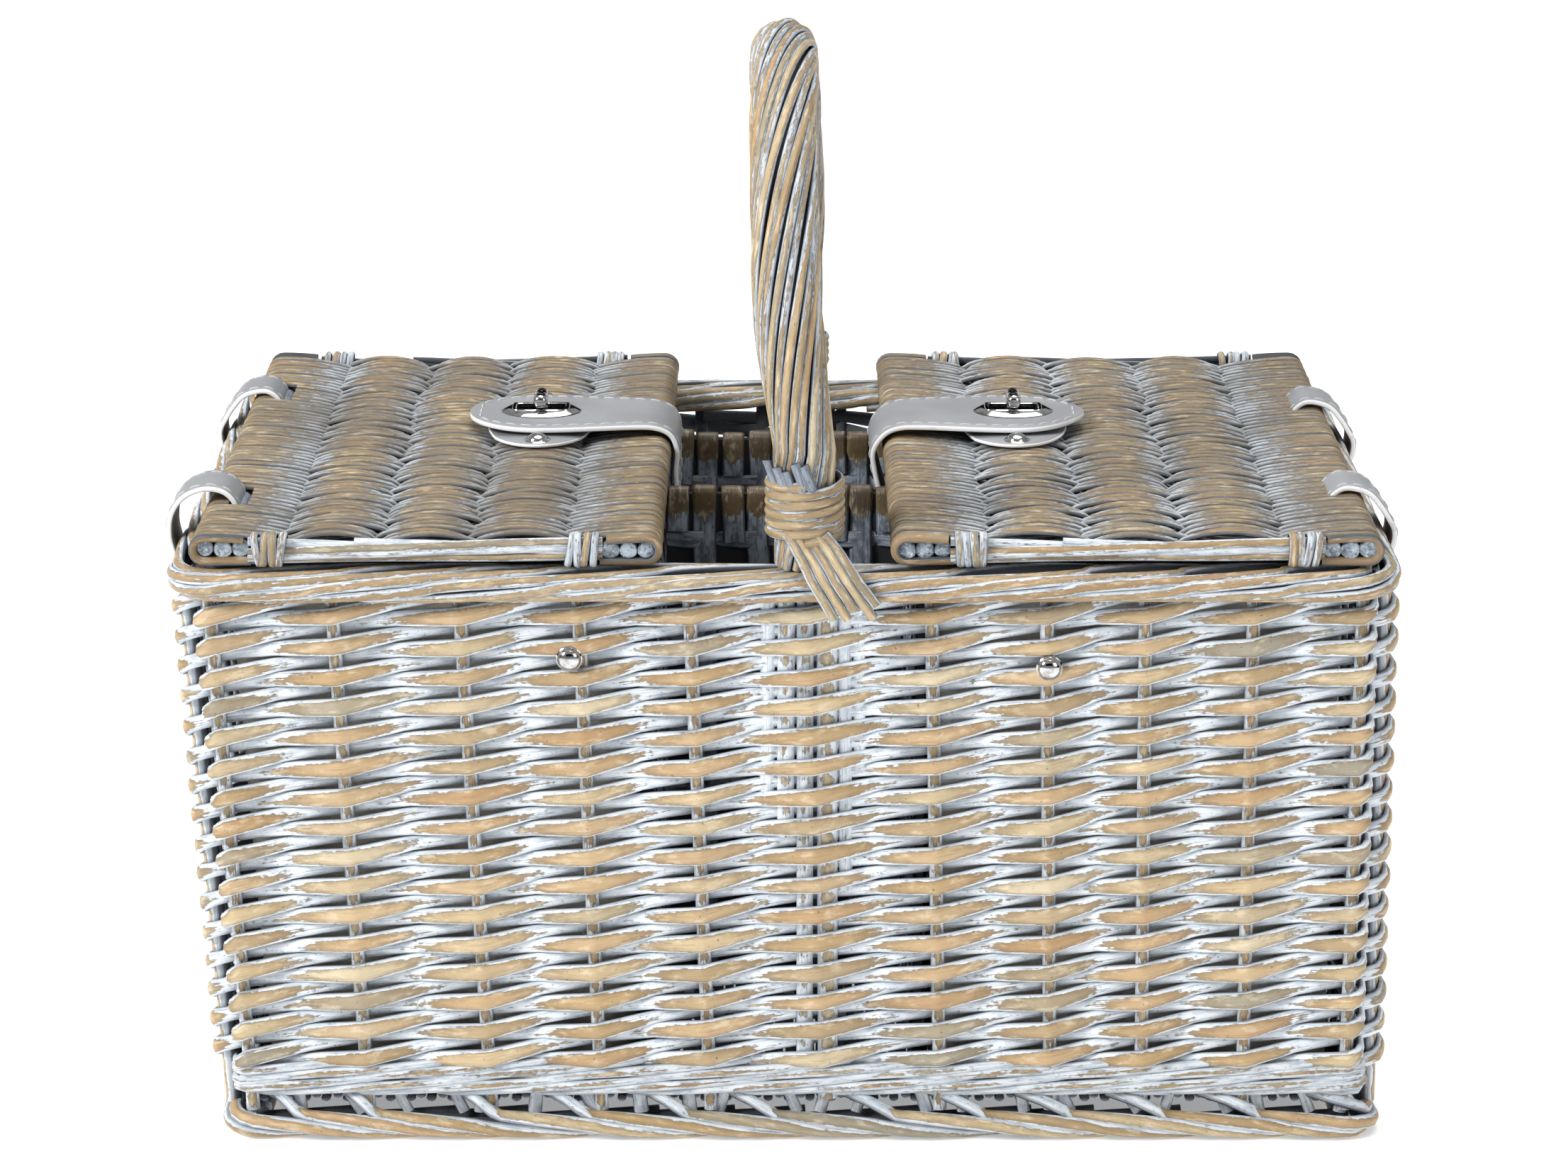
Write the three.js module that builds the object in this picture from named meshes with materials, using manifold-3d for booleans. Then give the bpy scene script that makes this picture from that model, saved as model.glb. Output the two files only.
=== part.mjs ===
// A willow picnic basket with two lids on leather loops and a fixed hoop handle.
// Millimetres, +Z up. X runs along the basket's length and Y from its front to its back.
// The origin is on the floor, under the middle of the rim.
import * as THREE from 'three';
import { mergeVertices } from 'three/addons/utils/BufferGeometryUtils.js';
import Module from 'manifold-3d';

const wasm = await Module();
wasm.setup();

// Body
const rimLength = 420;
const rimDepth = 250;
const bodyHeight = 212;
const rimHeight = 11;
const rimWidth = 19.5;
const rimOverhang = 9.3;
const rimCornerCut = 4;
const wallThickness = 10;
const wallTaper = 2.5;
const baseLean = 6;
const baseThickness = 5.4;
const baseInset = 2.5;
const footHeight = 10.5;
const footWidth = 18;
const footOverhang = 7.3;
const footCornerRadius = 12;
const cornerPostDiameter = 7;
const clearance = 0.3;

// Weave of the walls. Rows climb from stake to stake, and every second one passes in front.
// A stake's place is a share of the wall's half length, from left to right seen from outside.
const firstRowZ = 24.5;
const rowHeight = 5.5;
const longWallRelief = 2.8;
const longWallDip = 1;
const longWallMiddle = 0.4;
const sideWallRelief = 6.4;
const sideWallBack = 1;
const endStake = 0.9734;
const frontStakes = [-0.767, -0.55, -0.3515, -0.1604, 0.0391, 0.2482, 0.4437, 0.6082, 0.7897];
const rearStakes = [-0.777, -0.5816, -0.4061, -0.2156, -0.0401, 0.1655, 0.366, 0.5766, 0.7821];
const sideStakes = [-0.955, -0.664, -0.332, 0, 0.332, 0.664, 0.955];

// Handle
const handleRise = 163;
const handleDiameter = 24;
const handleFootDiameter = 21.6;
const handleSwellLength = 60;
const frontFootX = 7;
const rearFootX = 4;
const stakeThickness = 4.4;
const stakeTopWidth = 17;
const stakeEndWidth = 28;
const stakeDepth = 78;
const bindingThickness = 2.5;
const frontBindingRise = 9;
const frontBindingHeight = 23.5;
const rearBindingRise = 7.5;
const rearBindingHeight = 15.5;
const tailThickness = 3.3;
const tailWidth = 14.4;
const tailSlope = 0.55;
const tailDrop = 16;

// Partitions and linings
const dividerX = 47;
const dividerThickness = 7;
const dividerDrop = 4;
const frontCrossY = -6;
const rearCrossY = 63.7;
const liningThickness = 0.8;
const liningDrop = 16;

// Lids
const lidSetback = 7;
const lidThickness = 10.7;
const lidLiningThickness = 0.5;
const lidLiningMargin = 9;
const lidRidges = 5;
const ridgeDrop = 3.7;
const lidRows = 116;
const lidRowGroove = 1.2;
const stickDiameter = 6.4;
const stickPitch = 6;
const sticksInBundle = 3;
const stickEndMargin = 2.2;
const edgeRodDepth = 5;
const edgeRodHeight = 8;
const lidBindingWidth = 10.5;
const lidBindingThickness = 1.6;
const lidBindingOffset = 27;
const leftLidInnerLap = 6;
const leftLidOuterGap = 9.7;
const leftFrontLoopSetback = 57;
const leftRearLoopSetback = 61;
const rightLidInnerLap = 11;
const rightLidOuterGap = 8;
const rightFrontLoopSetback = 65;
const rightRearLoopSetback = 76;

// Leather loops of the hinges
const loopWidth = 20;
const loopThickness = 2;
const loopCornerRadius = 2.5;
const loopInnerSlack = 0.8;

// Locks
const lockY = 18;
const lockSetback = 48;
const patchLength = 39;
const patchWidth = 66;
const patchThickness = 1.4;
const patchRivetDiameter = 8;
const patchRivetHeight = 2.6;
const patchRivetMargin = 6;
const lockPlateLength = 24;
const lockPlateWidth = 12;
const lockPlateThickness = 0.5;
const postDiameter = 5.8;
const postBoreDiameter = 3.6;
const strapThickness = 2;
const strapTipReach = 26;
const strapWideHalf = 22.5;
const strapNarrowHalf = 18;
const strapTailDrop = 11;
const strapBendRadius = 3.6;
const eyeletLength = 29;
const eyeletWidth = 19.5;
const eyeletThickness = 1.6;
const eyeletLip = 3.4;
const eyeletSlotLength = 18;
const eyeletSlotWidth = 8;
const knobDiameter = 5.4;
const knobLength = 13;
const knobStemDiameter = 3;
const knobStemLength = 3.2;

// Rivets through the front wall
const wallRivetDiameter = 8;
const wallRivetHeight = 2.6;
const wallRivetShank = 3;
const leftRivetX = -72.8;
const leftRivetDrop = 31.6;
const rightRivetX = 90;
const rightRivetDrop = 35;

// Levels and planes worked out from the sizes above
const halfLength = rimLength / 2;
const halfDepth = rimDepth / 2;
const rimUnderside = bodyHeight - rimHeight;
const wallTop = rimUnderside - clearance;
const baseBottom = footHeight + clearance;
const baseTop = baseBottom + baseThickness;
const wallBottom = baseTop + clearance;
const lidLiningBottom = bodyHeight + clearance;
const lidLiningTop = lidLiningBottom + lidLiningThickness;
const lidBottom = lidLiningTop + clearance;
const lidTop = lidBottom + lidThickness;
const lidMiddle = (lidBottom + lidTop) / 2;
const lidEndRadius = lidThickness / 2;
const lidFront = -halfDepth + lidSetback;
const lidRear = halfDepth - lidSetback;
const lidPanelFront = lidFront + edgeRodDepth + clearance;
const lidPanelRear = lidRear - edgeRodDepth - clearance;
const bundleWidth = (sticksInBundle - 1) * stickPitch + stickDiameter;
const bundleEnd = stickEndMargin + bundleWidth;
const patchBottom = lidTop + clearance;
const patchTop = patchBottom + patchThickness;
const lockPlateBottom = patchTop + clearance;
const lockPlateTop = lockPlateBottom + lockPlateThickness;
const strapBottom = lockPlateTop + clearance;
const strapTop = strapBottom + strapThickness;
const eyeletBottom = strapTop + clearance;
const eyeletTop = eyeletBottom + eyeletThickness;
const knobBottom = eyeletTop + clearance;
const knobMiddle = knobBottom + knobDiameter / 2;
const loopInnerX = halfLength - rimWidth - loopInnerSlack;
const loopOuterX = halfLength + clearance;
const loopBottom = rimUnderside - clearance;
const loopTop = lidTop + clearance;
const strapTailEnd = rimUnderside - strapTailDrop;
const wallRivets = [
  { name: 'front_rivet_left', x: leftRivetX, z: bodyHeight - leftRivetDrop },
  { name: 'front_rivet_right', x: rightRivetX, z: bodyHeight - rightRivetDrop },
];
const lids = [
  {
    name: 'left',
    side: -1,
    inner: dividerX - leftLidInnerLap,
    outer: halfLength - leftLidOuterGap,
    loopY: [-halfDepth + leftFrontLoopSetback, halfDepth - leftRearLoopSetback],
  },
  {
    name: 'right',
    side: 1,
    inner: dividerX - rightLidInnerLap,
    outer: halfLength - rightLidOuterGap,
    loopY: [-halfDepth + rightFrontLoopSetback, halfDepth - rightRearLoopSetback],
  },
];

const finishes = {
  wall: new THREE.MeshStandardMaterial({ color: 0xb9a98c, roughness: 0.75, metalness: 0 }),
  border: new THREE.MeshStandardMaterial({ color: 0xa09176, roughness: 0.7, metalness: 0 }),
  lid: new THREE.MeshStandardMaterial({ color: 0x8f8470, roughness: 0.7, metalness: 0 }),
  shaded: new THREE.MeshStandardMaterial({ color: 0x5c5448, roughness: 0.7, metalness: 0 }),
  leather: new THREE.MeshStandardMaterial({ color: 0x8f9193, roughness: 0.5, metalness: 0 }),
  nickel: new THREE.MeshStandardMaterial({ color: 0xc9cacb, roughness: 0.18, metalness: 1 }),
  cloth: new THREE.MeshStandardMaterial({ color: 0xa8a296, roughness: 0.95, metalness: 0 }),
};

const basket = new THREE.Group();

function addPiece(name, geometry, finish) {
  const piece = new THREE.Mesh(geometry, finishes[finish]);
  piece.name = name;
  basket.add(piece);
}

// Solids and booleans
function toSolid(geometry) {
  const bare = geometry.clone();
  for (const name of Object.keys(bare.attributes)) {
    if (name !== 'position') {
      bare.deleteAttribute(name);
    }
  }
  const merged = mergeVertices(bare, 1e-4);
  const vertProperties = new Float32Array(merged.attributes.position.array);
  const triVerts = new Uint32Array(merged.index.array);
  return new wasm.Manifold(new wasm.Mesh({ numProp: 3, vertProperties, triVerts }));
}

function toGeometry(solid) {
  const mesh = solid.getMesh();
  const geometry = new THREE.BufferGeometry();
  geometry.setAttribute('position', new THREE.BufferAttribute(mesh.vertProperties, 3));
  geometry.setIndex(new THREE.BufferAttribute(mesh.triVerts, 1));
  return geometry;
}

function join(...geometries) {
  const solids = geometries.map(toSolid);
  return toGeometry(solids.reduce((whole, next) => whole.add(next)));
}

function cut(geometry, ...tools) {
  return toGeometry(tools.map(toSolid).reduce((left, tool) => left.subtract(tool), toSolid(geometry)));
}

function overlap(first, second) {
  return toGeometry(toSolid(first).intersect(toSolid(second)));
}

// Outlines
function outline(points, hole) {
  const shape = new THREE.Shape(points.map(([a, b]) => new THREE.Vector2(a, b)));
  if (hole) {
    shape.holes.push(new THREE.Path(hole.map(([a, b]) => new THREE.Vector2(a, b))));
  }
  return shape;
}

function arc(centreA, centreB, radiusA, radiusB, from, to, steps) {
  return Array.from({ length: steps + 1 }, (_, i) => {
    const angle = THREE.MathUtils.degToRad(from + ((to - from) * i) / steps);
    return [centreA + radiusA * Math.cos(angle), centreB + radiusB * Math.sin(angle)];
  });
}

function rectangle(a0, a1, b0, b1) {
  return [[a0, b0], [a1, b0], [a1, b1], [a0, b1]];
}

function roundedRectangle(a0, a1, b0, b1, radius, steps) {
  return [
    ...arc(a1 - radius, b0 + radius, radius, radius, -90, 0, steps),
    ...arc(a1 - radius, b1 - radius, radius, radius, 0, 90, steps),
    ...arc(a0 + radius, b1 - radius, radius, radius, 90, 180, steps),
    ...arc(a0 + radius, b0 + radius, radius, radius, 180, 270, steps),
  ];
}

// Prisms along each axis
function prismZ(shape, z0, z1) {
  const prism = new THREE.ExtrudeGeometry(shape, { depth: z1 - z0, bevelEnabled: false, steps: 1 });
  return prism.translate(0, 0, z0);
}

function prismY(shape, y0, y1) {
  const prism = new THREE.ExtrudeGeometry(shape, { depth: y1 - y0, bevelEnabled: false, steps: 1 });
  return prism.rotateX(Math.PI / 2).translate(0, y1, 0);
}

function prismX(shape, x0, x1) {
  const prism = new THREE.ExtrudeGeometry(shape, { depth: x1 - x0, bevelEnabled: false, steps: 1 });
  const turn = new THREE.Matrix4().set(0, 0, 1, x0, 1, 0, 0, 0, 0, 1, 0, 0, 0, 0, 0, 1);
  return prism.applyMatrix4(turn);
}

function block(x0, x1, y0, y1, z0, z1) {
  return prismZ(outline(rectangle(Math.min(x0, x1), Math.max(x0, x1), y0, y1)), z0, z1);
}

function uprightCylinder(x, y, z0, z1, radius, sides) {
  const cylinder = new THREE.CylinderGeometry(radius, radius, z1 - z0, sides);
  return cylinder.rotateX(Math.PI / 2).translate(x, y, (z0 + z1) / 2);
}

// A slab whose plan rectangle changes evenly from its bottom to its top
function slab(low, z0, high, z1) {
  const corners = [];
  for (const [r, z] of [[low, z0], [high, z1]]) {
    corners.push(r.x0, r.y0, z, r.x1, r.y0, z, r.x1, r.y1, z, r.x0, r.y1, z);
  }
  const faces = [0, 2, 1, 0, 3, 2, 4, 5, 6, 4, 6, 7];
  for (let i = 0; i < 4; i += 1) {
    const next = (i + 1) % 4;
    faces.push(i, next, next + 4, i, next + 4, i + 4);
  }
  const geometry = new THREE.BufferGeometry();
  geometry.setAttribute('position', new THREE.Float32BufferAttribute(corners, 3));
  geometry.setIndex(faces);
  return geometry;
}

// The wall's plan rectangle at a height, drawn in from its outer face
function wallPlan(z, inset) {
  const fall = 1 - z / bodyHeight;
  const middle = baseLean * fall;
  const halfX = halfLength - rimOverhang - wallTaper * fall - inset;
  const halfY = halfDepth - rimOverhang - wallTaper * fall - inset;
  return { x0: middle - halfX, x1: middle + halfX, y0: -halfY, y1: halfY };
}

// A slab between two heights, its plan at each height given by a function
function leaningSlab(plan, z0, z1) {
  return slab(plan(z0), z0, plan(z1), z1);
}

// Foot border, base and corner posts
function makeFoot() {
  const wall = wallPlan(0, 0);
  const out = footOverhang;
  const outer = [wall.x0 - out, wall.x1 + out, wall.y0 - out, wall.y1 + out];
  const inner = [outer[0] + footWidth, outer[1] - footWidth, outer[2] + footWidth, outer[3] - footWidth];
  const ring = outline(roundedRectangle(...outer, footCornerRadius, 4), rectangle(...inner));
  addPiece('foot_border', prismZ(ring, 0, footHeight), 'border');
}

function makeBase() {
  addPiece('base_panel', leaningSlab((z) => wallPlan(z, baseInset), baseBottom, baseTop), 'shaded');
}

function cornerPost(xSide, ySide, diameter, extra) {
  const ends = [wallBottom - extra, wallTop + extra].map((z) => {
    const plan = wallPlan(z, wallThickness / 2);
    return new THREE.Vector3(xSide < 0 ? plan.x0 : plan.x1, ySide < 0 ? plan.y0 : plan.y1, z);
  });
  const along = ends[1].clone().sub(ends[0]);
  const post = new THREE.CylinderGeometry(diameter / 2, diameter / 2, along.length(), 10);
  const upright = new THREE.Vector3(0, 1, 0);
  const turn = new THREE.Quaternion().setFromUnitVectors(upright, along.clone().normalize());
  const middle = ends[0].clone().add(ends[1]).multiplyScalar(0.5);
  return post.applyQuaternion(turn).translate(middle.x, middle.y, middle.z);
}

const holeOverrun = 5;
const cornerSides = [-1, 1];

function postHole(xSide, ySide) {
  return cornerPost(xSide, ySide, cornerPostDiameter + 2 * clearance, holeOverrun);
}

function makeCornerPosts() {
  for (const ySide of cornerSides) {
    for (const xSide of cornerSides) {
      const name = `corner_post_${ySide < 0 ? 'front' : 'rear'}_${xSide < 0 ? 'left' : 'right'}`;
      addPiece(name, cornerPost(xSide, ySide, cornerPostDiameter, 0), 'shaded');
    }
  }
}

// The flat stakes of the handle, which run down inside the rim and the wall
function handleStakes(footX, ySide, extra) {
  const plan = (z) => {
    const centre = ySide * wallPlan(z, wallThickness / 2).y1;
    const share = (bodyHeight + stakeThickness - z) / (stakeDepth + stakeThickness);
    const half = THREE.MathUtils.lerp(stakeTopWidth, stakeEndWidth, share) / 2 + extra;
    const depth = stakeThickness / 2 + extra;
    return { x0: footX - half, x1: footX + half, y0: centre - depth, y1: centre + depth };
  };
  return leaningSlab(plan, bodyHeight - stakeDepth - extra, bodyHeight + stakeThickness);
}

// Walls
// The rows of the weave at each stake and halfway between stakes, as heights out of the wall's face
function weaveColumns(stakes, relief) {
  const rows = Math.floor((wallTop - firstRowZ) / rowHeight - 0.5);
  const column = (across, rise, outAt) => {
    const points = [{ across, z: wallBottom, out: 0 }];
    for (let row = 0; row <= rows; row += 1) {
      points.push({ across, z: firstRowZ + (row + rise) * rowHeight, out: outAt(row) });
    }
    return [...points, { across, z: wallTop, out: 0 }];
  };
  const columns = [column(-1, 0, () => 0)];
  stakes.forEach((stake, i) => {
    const back = Math.abs(stake) > relief.edge ? 0 : relief.back;
    columns.push(column(stake, 0, (row) => (row % 2 === 1 ? relief.front : back)));
    if (i + 1 < stakes.length) {
      columns.push(column((stake + stakes[i + 1]) / 2, 0.5, () => relief.middle));
    }
  });
  columns.push(column(1, 0, () => 0));
  return columns;
}

// A solid between a grid of columns and two points behind each column, at its first and last row.
// Seen from outside, the columns run from left to right and their rows upwards.
function closedGrid(columns, backs) {
  const height = columns[0].length;
  const start = columns.length * height;
  const last = columns.length - 1;
  const faces = [];
  for (let c = 0; c < last; c += 1) {
    const low = start + 2 * c;
    const first = c * height;
    const end = first + height - 1;
    for (let here = first; here < end; here += 1) {
      const next = here + height;
      faces.push(here, next, next + 1, here, next + 1, here + 1);
    }
    faces.push(first + height, first, low, first + height, low, low + 2);
    faces.push(end, end + height, low + 3, end, low + 3, low + 1);
    faces.push(low, low + 3, low + 2, low, low + 1, low + 3);
  }
  const right = last * height;
  const rightLow = start + 2 * last;
  for (let row = 0; row < height - 1; row += 1) {
    faces.push(row, row + 1, start + 1);
    faces.push(right + row + 1, right + row, rightLow);
  }
  faces.push(0, start + 1, start);
  faces.push(right + height - 1, rightLow, rightLow + 1);
  const geometry = new THREE.BufferGeometry();
  const positions = [...columns.flat(), ...backs.flat()].flat();
  geometry.setAttribute('position', new THREE.Float32BufferAttribute(positions, 3));
  geometry.setIndex(faces);
  return geometry;
}

// A wall with the weave's relief outside and a plain face inside. place turns a point of the
// weave into X, Y and Z.
function wovenWall(columns, place) {
  const backs = columns.map(([{ across }]) =>
    [wallBottom, wallTop].map((z) => place({ across, z, out: -wallThickness })));
  return closedGrid(columns.map((column) => column.map(place)), backs);
}

function longWall(ySide) {
  const relief = { front: longWallRelief, middle: longWallMiddle, back: -longWallDip, edge: 0.9 };
  const columns = weaveColumns([-endStake, ...(ySide < 0 ? frontStakes : rearStakes), endStake], relief);
  const place = ({ across, z, out }) => {
    const plan = wallPlan(z, 0);
    const x = THREE.MathUtils.lerp(plan.x0, plan.x1, (1 - ySide * across) / 2);
    const onRivet = ySide < 0 && wallRivets.some((rivet) =>
      Math.hypot(x - rivet.x, z - rivet.z) < 2 * wallRivetDiameter);
    return [x, ySide * (plan.y1 + (onRivet ? 0 : out)), z];
  };
  return wovenWall(columns, place);
}

function sideWall(xSide) {
  const middle = (sideWallRelief + sideWallBack) / 2;
  const relief = { front: sideWallRelief, middle, back: sideWallBack, edge: 0.9 };
  const columns = weaveColumns(sideStakes, relief);
  const place = ({ across, z, out }) => {
    const plan = wallPlan(z, 0);
    const y = across * xSide * wallPlan(z, wallThickness + clearance).y1;
    return [(xSide < 0 ? plan.x0 : plan.x1) + xSide * out, y, z];
  };
  return wovenWall(columns, place);
}

function rivetHole(rivet) {
  const radius = wallRivetShank / 2 + clearance;
  const hole = new THREE.CylinderGeometry(radius, radius, 2 * (wallThickness + holeOverrun), 12);
  return hole.translate(rivet.x, wallPlan(rivet.z, 0).y0, rivet.z);
}

function makeWalls() {
  const holes = wallRivets.map(rivetHole);
  const frontTools = [postHole(-1, -1), postHole(1, -1), handleStakes(frontFootX, -1, clearance), ...holes];
  const rearTools = [postHole(-1, 1), postHole(1, 1), handleStakes(rearFootX, 1, clearance)];
  addPiece('front_wall', cut(longWall(-1), ...frontTools), 'wall');
  addPiece('rear_wall', cut(longWall(1), ...rearTools), 'wall');
  for (const lid of lids) {
    const notches = lid.loopY.map((y) => loopNotch(lid, y));
    addPiece(`${lid.name}_wall`, cut(sideWall(lid.side), ...notches), 'wall');
  }
}

function makeWallRivets() {
  for (const rivet of wallRivets) {
    const face = wallPlan(rivet.z, 0).y0;
    const dome = arc(0, clearance, wallRivetDiameter / 2, wallRivetHeight, 0, 90, 5);
    const shankEnd = clearance - wallThickness;
    const shank = [[0, shankEnd], [wallRivetShank / 2, shankEnd], [wallRivetShank / 2, clearance]];
    const profile = [...shank, ...dome];
    const points = profile.map(([a, b]) => new THREE.Vector2(Math.max(a, 0), b));
    const turned = new THREE.LatheGeometry(points, 16).rotateX(Math.PI);
    addPiece(rivet.name, turned.translate(rivet.x, face, rivet.z), 'nickel');
  }
}

// Rim rails, mitred at the corners
function makeRims() {
  const gap = clearance * Math.SQRT2;
  const half = rimCornerCut / 2;
  for (const ySide of cornerSides) {
    const plan = [
      [-halfLength + half, ySide * (halfDepth - half)],
      [-halfLength + rimCornerCut, ySide * halfDepth],
      [halfLength - rimCornerCut, ySide * halfDepth],
      [halfLength - half, ySide * (halfDepth - half)],
      [halfLength - rimWidth, ySide * (halfDepth - rimWidth)],
      [-halfLength + rimWidth, ySide * (halfDepth - rimWidth)],
    ];
    const stakes = handleStakes(ySide < 0 ? frontFootX : rearFootX, ySide, clearance);
    const rail = cut(prismZ(outline(plan), rimUnderside, bodyHeight), stakes);
    addPiece(ySide < 0 ? 'rim_front' : 'rim_rear', rail, 'border');
  }
  for (const xSide of cornerSides) {
    const plan = [
      [xSide * (halfLength - half), -halfDepth + half + gap],
      [xSide * halfLength, -halfDepth + rimCornerCut + gap],
      [xSide * halfLength, halfDepth - rimCornerCut - gap],
      [xSide * (halfLength - half), halfDepth - half - gap],
      [xSide * (halfLength - rimWidth), halfDepth - rimWidth - gap],
      [xSide * (halfLength - rimWidth), -halfDepth + rimWidth + gap],
    ];
    const rail = prismZ(outline(plan), rimUnderside, bodyHeight);
    addPiece(xSide < 0 ? 'rim_left' : 'rim_right', rail, 'border');
  }
}

// Hoop handle
const legY = wallPlan(bodyHeight, wallThickness / 2).y1;
const legBottom = bodyHeight + clearance;
const crownZ = bodyHeight + handleRise - handleDiameter / 2;
const springZ = crownZ - legY;

function handleLine() {
  const line = [];
  const legSteps = 2;
  const archSteps = 26;
  for (let i = 0; i < legSteps; i += 1) {
    line.push(new THREE.Vector3(frontFootX, -legY, THREE.MathUtils.lerp(legBottom, springZ, i / legSteps)));
  }
  for (let i = 0; i <= archSteps; i += 1) {
    const angle = (Math.PI * i) / archSteps;
    const frontX = frontFootX * (1 - Math.sin(angle)) ** 3;
    const x = angle < Math.PI / 2 ? frontX : rearFootX * Math.cos(angle) ** 2;
    line.push(new THREE.Vector3(x, -legY * Math.cos(angle), springZ + legY * Math.sin(angle)));
  }
  for (let i = 1; i <= legSteps; i += 1) {
    line.push(new THREE.Vector3(rearFootX, legY, THREE.MathUtils.lerp(springZ, legBottom, i / legSteps)));
  }
  return line;
}

function handleRadius(point) {
  const rise = point.z - legBottom;
  const swellStart = frontBindingRise + frontBindingHeight;
  const share = THREE.MathUtils.smoothstep(rise, swellStart, handleSwellLength * 1.5);
  return THREE.MathUtils.lerp(handleFootDiameter, handleDiameter, share) / 2;
}

// A round bar along a line that bends about the X axis
function bar(line, radiusAt, sides) {
  const positions = [];
  const across = new THREE.Vector3(1, 0, 0);
  line.forEach((point, i) => {
    const before = line[Math.max(i - 1, 0)];
    const after = line[Math.min(i + 1, line.length - 1)];
    const along = after.clone().sub(before);
    along.x = 0;
    along.normalize();
    const outward = along.clone().cross(across);
    for (let s = 0; s < sides; s += 1) {
      const angle = (2 * Math.PI * s) / sides;
      const spot = point.clone();
      spot.addScaledVector(across, radiusAt(point) * Math.cos(angle));
      spot.addScaledVector(outward, radiusAt(point) * Math.sin(angle));
      positions.push(spot.x, spot.y, spot.z);
    }
  });
  const faces = [];
  const last = (line.length - 1) * sides;
  for (let ring = 0; ring < line.length - 1; ring += 1) {
    for (let s = 0; s < sides; s += 1) {
      const here = ring * sides + s;
      const next = ring * sides + ((s + 1) % sides);
      faces.push(here, next, here + sides, next, next + sides, here + sides);
    }
  }
  for (let s = 1; s < sides - 1; s += 1) {
    faces.push(0, s + 1, s, last, last + s, last + s + 1);
  }
  const geometry = new THREE.BufferGeometry();
  geometry.setAttribute('position', new THREE.Float32BufferAttribute(positions, 3));
  geometry.setIndex(faces);
  return geometry;
}

function bindingRing(footX, ySide, rise, height) {
  const inner = handleFootDiameter / 2 + clearance;
  const outer = inner + bindingThickness;
  const corners = [[inner, 0], [outer, 0], [outer, height], [inner, height], [inner, 0]];
  const ring = new THREE.LatheGeometry(corners.map(([a, b]) => new THREE.Vector2(a, b)), 18);
  return ring.rotateX(Math.PI / 2).translate(footX, ySide * legY, bodyHeight + rise);
}

// The ends of the binding, which fan out over the rim
function tails(footX, ySide, topZ) {
  const rimFace = halfDepth + clearance;
  const kneeZ = bodyHeight + 2 * clearance;
  const topY = legY + handleFootDiameter / 2 + clearance;
  const side = [
    [ySide * topY, topZ],
    [ySide * (topY + tailThickness), topZ],
    [ySide * (rimFace + tailThickness), kneeZ],
    [ySide * (rimFace + tailThickness), bodyHeight - tailDrop],
    [ySide * rimFace, bodyHeight - tailDrop],
    [ySide * rimFace, kneeZ],
  ];
  const fan = prismX(outline(side), footX, footX + tailWidth);
  const spots = fan.attributes.position;
  for (let i = 0; i < spots.count; i += 1) {
    spots.setX(i, spots.getX(i) + tailSlope * (bodyHeight + frontBindingRise - spots.getZ(i)));
  }
  return fan;
}

function makeHandle() {
  const bow = bar(handleLine(), handleRadius, 14);
  const stakes = [handleStakes(frontFootX, -1, 0), handleStakes(rearFootX, 1, 0)];
  addPiece('handle_bow', join(bow, ...stakes), 'lid');
  const frontRing = bindingRing(frontFootX, -1, frontBindingRise, frontBindingHeight);
  addPiece('handle_binding_front', frontRing, 'border');
  const tailsTop = bodyHeight + frontBindingRise - clearance;
  addPiece('handle_tails_front', tails(frontFootX, -1, tailsTop), 'border');
  const rearRing = bindingRing(rearFootX, 1, rearBindingRise, rearBindingHeight);
  const rearTails = tails(rearFootX - tailWidth, 1, bodyHeight + rearBindingRise + tailThickness);
  addPiece('handle_binding_rear', join(rearRing, rearTails), 'border');
}

// Partitions between the compartments
function makeDividers() {
  const half = dividerThickness / 2;
  const top = bodyHeight - dividerDrop;
  for (const lid of lids) {
    const centre = lid.side * dividerX;
    const plan = (z) => {
      const room = wallPlan(z, wallThickness + clearance);
      return { x0: centre - half, x1: centre + half, y0: room.y0, y1: room.y1 };
    };
    addPiece(`divider_${lid.name}`, leaningSlab(plan, wallBottom, top), 'shaded');
  }
  const reach = dividerX - half - clearance;
  for (const [name, y] of [['cross_divider_front', frontCrossY], ['cross_divider_rear', rearCrossY]]) {
    addPiece(name, block(-reach, reach, y - half, y + half, wallBottom, top), 'shaded');
  }
}

// Cloth linings of the two large compartments, open at the top
function makeLinings() {
  const dividerFace = dividerX + dividerThickness / 2 + clearance;
  for (const lid of lids) {
    const plan = (inset) => (z) => {
      const room = wallPlan(z, wallThickness + clearance + inset);
      return lid.side < 0
        ? { ...room, x1: -dividerFace - inset }
        : { ...room, x0: dividerFace + inset };
    };
    const top = bodyHeight - liningDrop;
    const outer = leaningSlab(plan(0), wallBottom, top);
    const hollow = leaningSlab(plan(liningThickness), wallBottom + liningThickness, top + 1);
    addPiece(`lining_${lid.name}`, cut(outer, hollow), 'cloth');
  }
}

// Leather loops that hinge each lid to the rim
function makeLoops() {
  for (const lid of lids) {
    const spots = [['front', lid.loopY[0]], ['rear', lid.loopY[1]]];
    for (const [place, y] of spots) {
      const ends = [lid.side * loopInnerX, lid.side * loopOuterX].sort((a, b) => a - b);
      const innerRadius = loopCornerRadius - loopThickness;
      const hole = roundedRectangle(...ends, loopBottom, loopTop, innerRadius, 3);
      const skin = roundedRectangle(
        ends[0] - loopThickness,
        ends[1] + loopThickness,
        loopBottom - loopThickness,
        loopTop + loopThickness,
        loopCornerRadius,
        3,
      );
      const ring = prismY(outline(skin, hole), y - loopWidth / 2, y + loopWidth / 2);
      addPiece(`hinge_loop_${lid.name}_${place}`, ring, 'leather');
    }
  }
}

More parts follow.
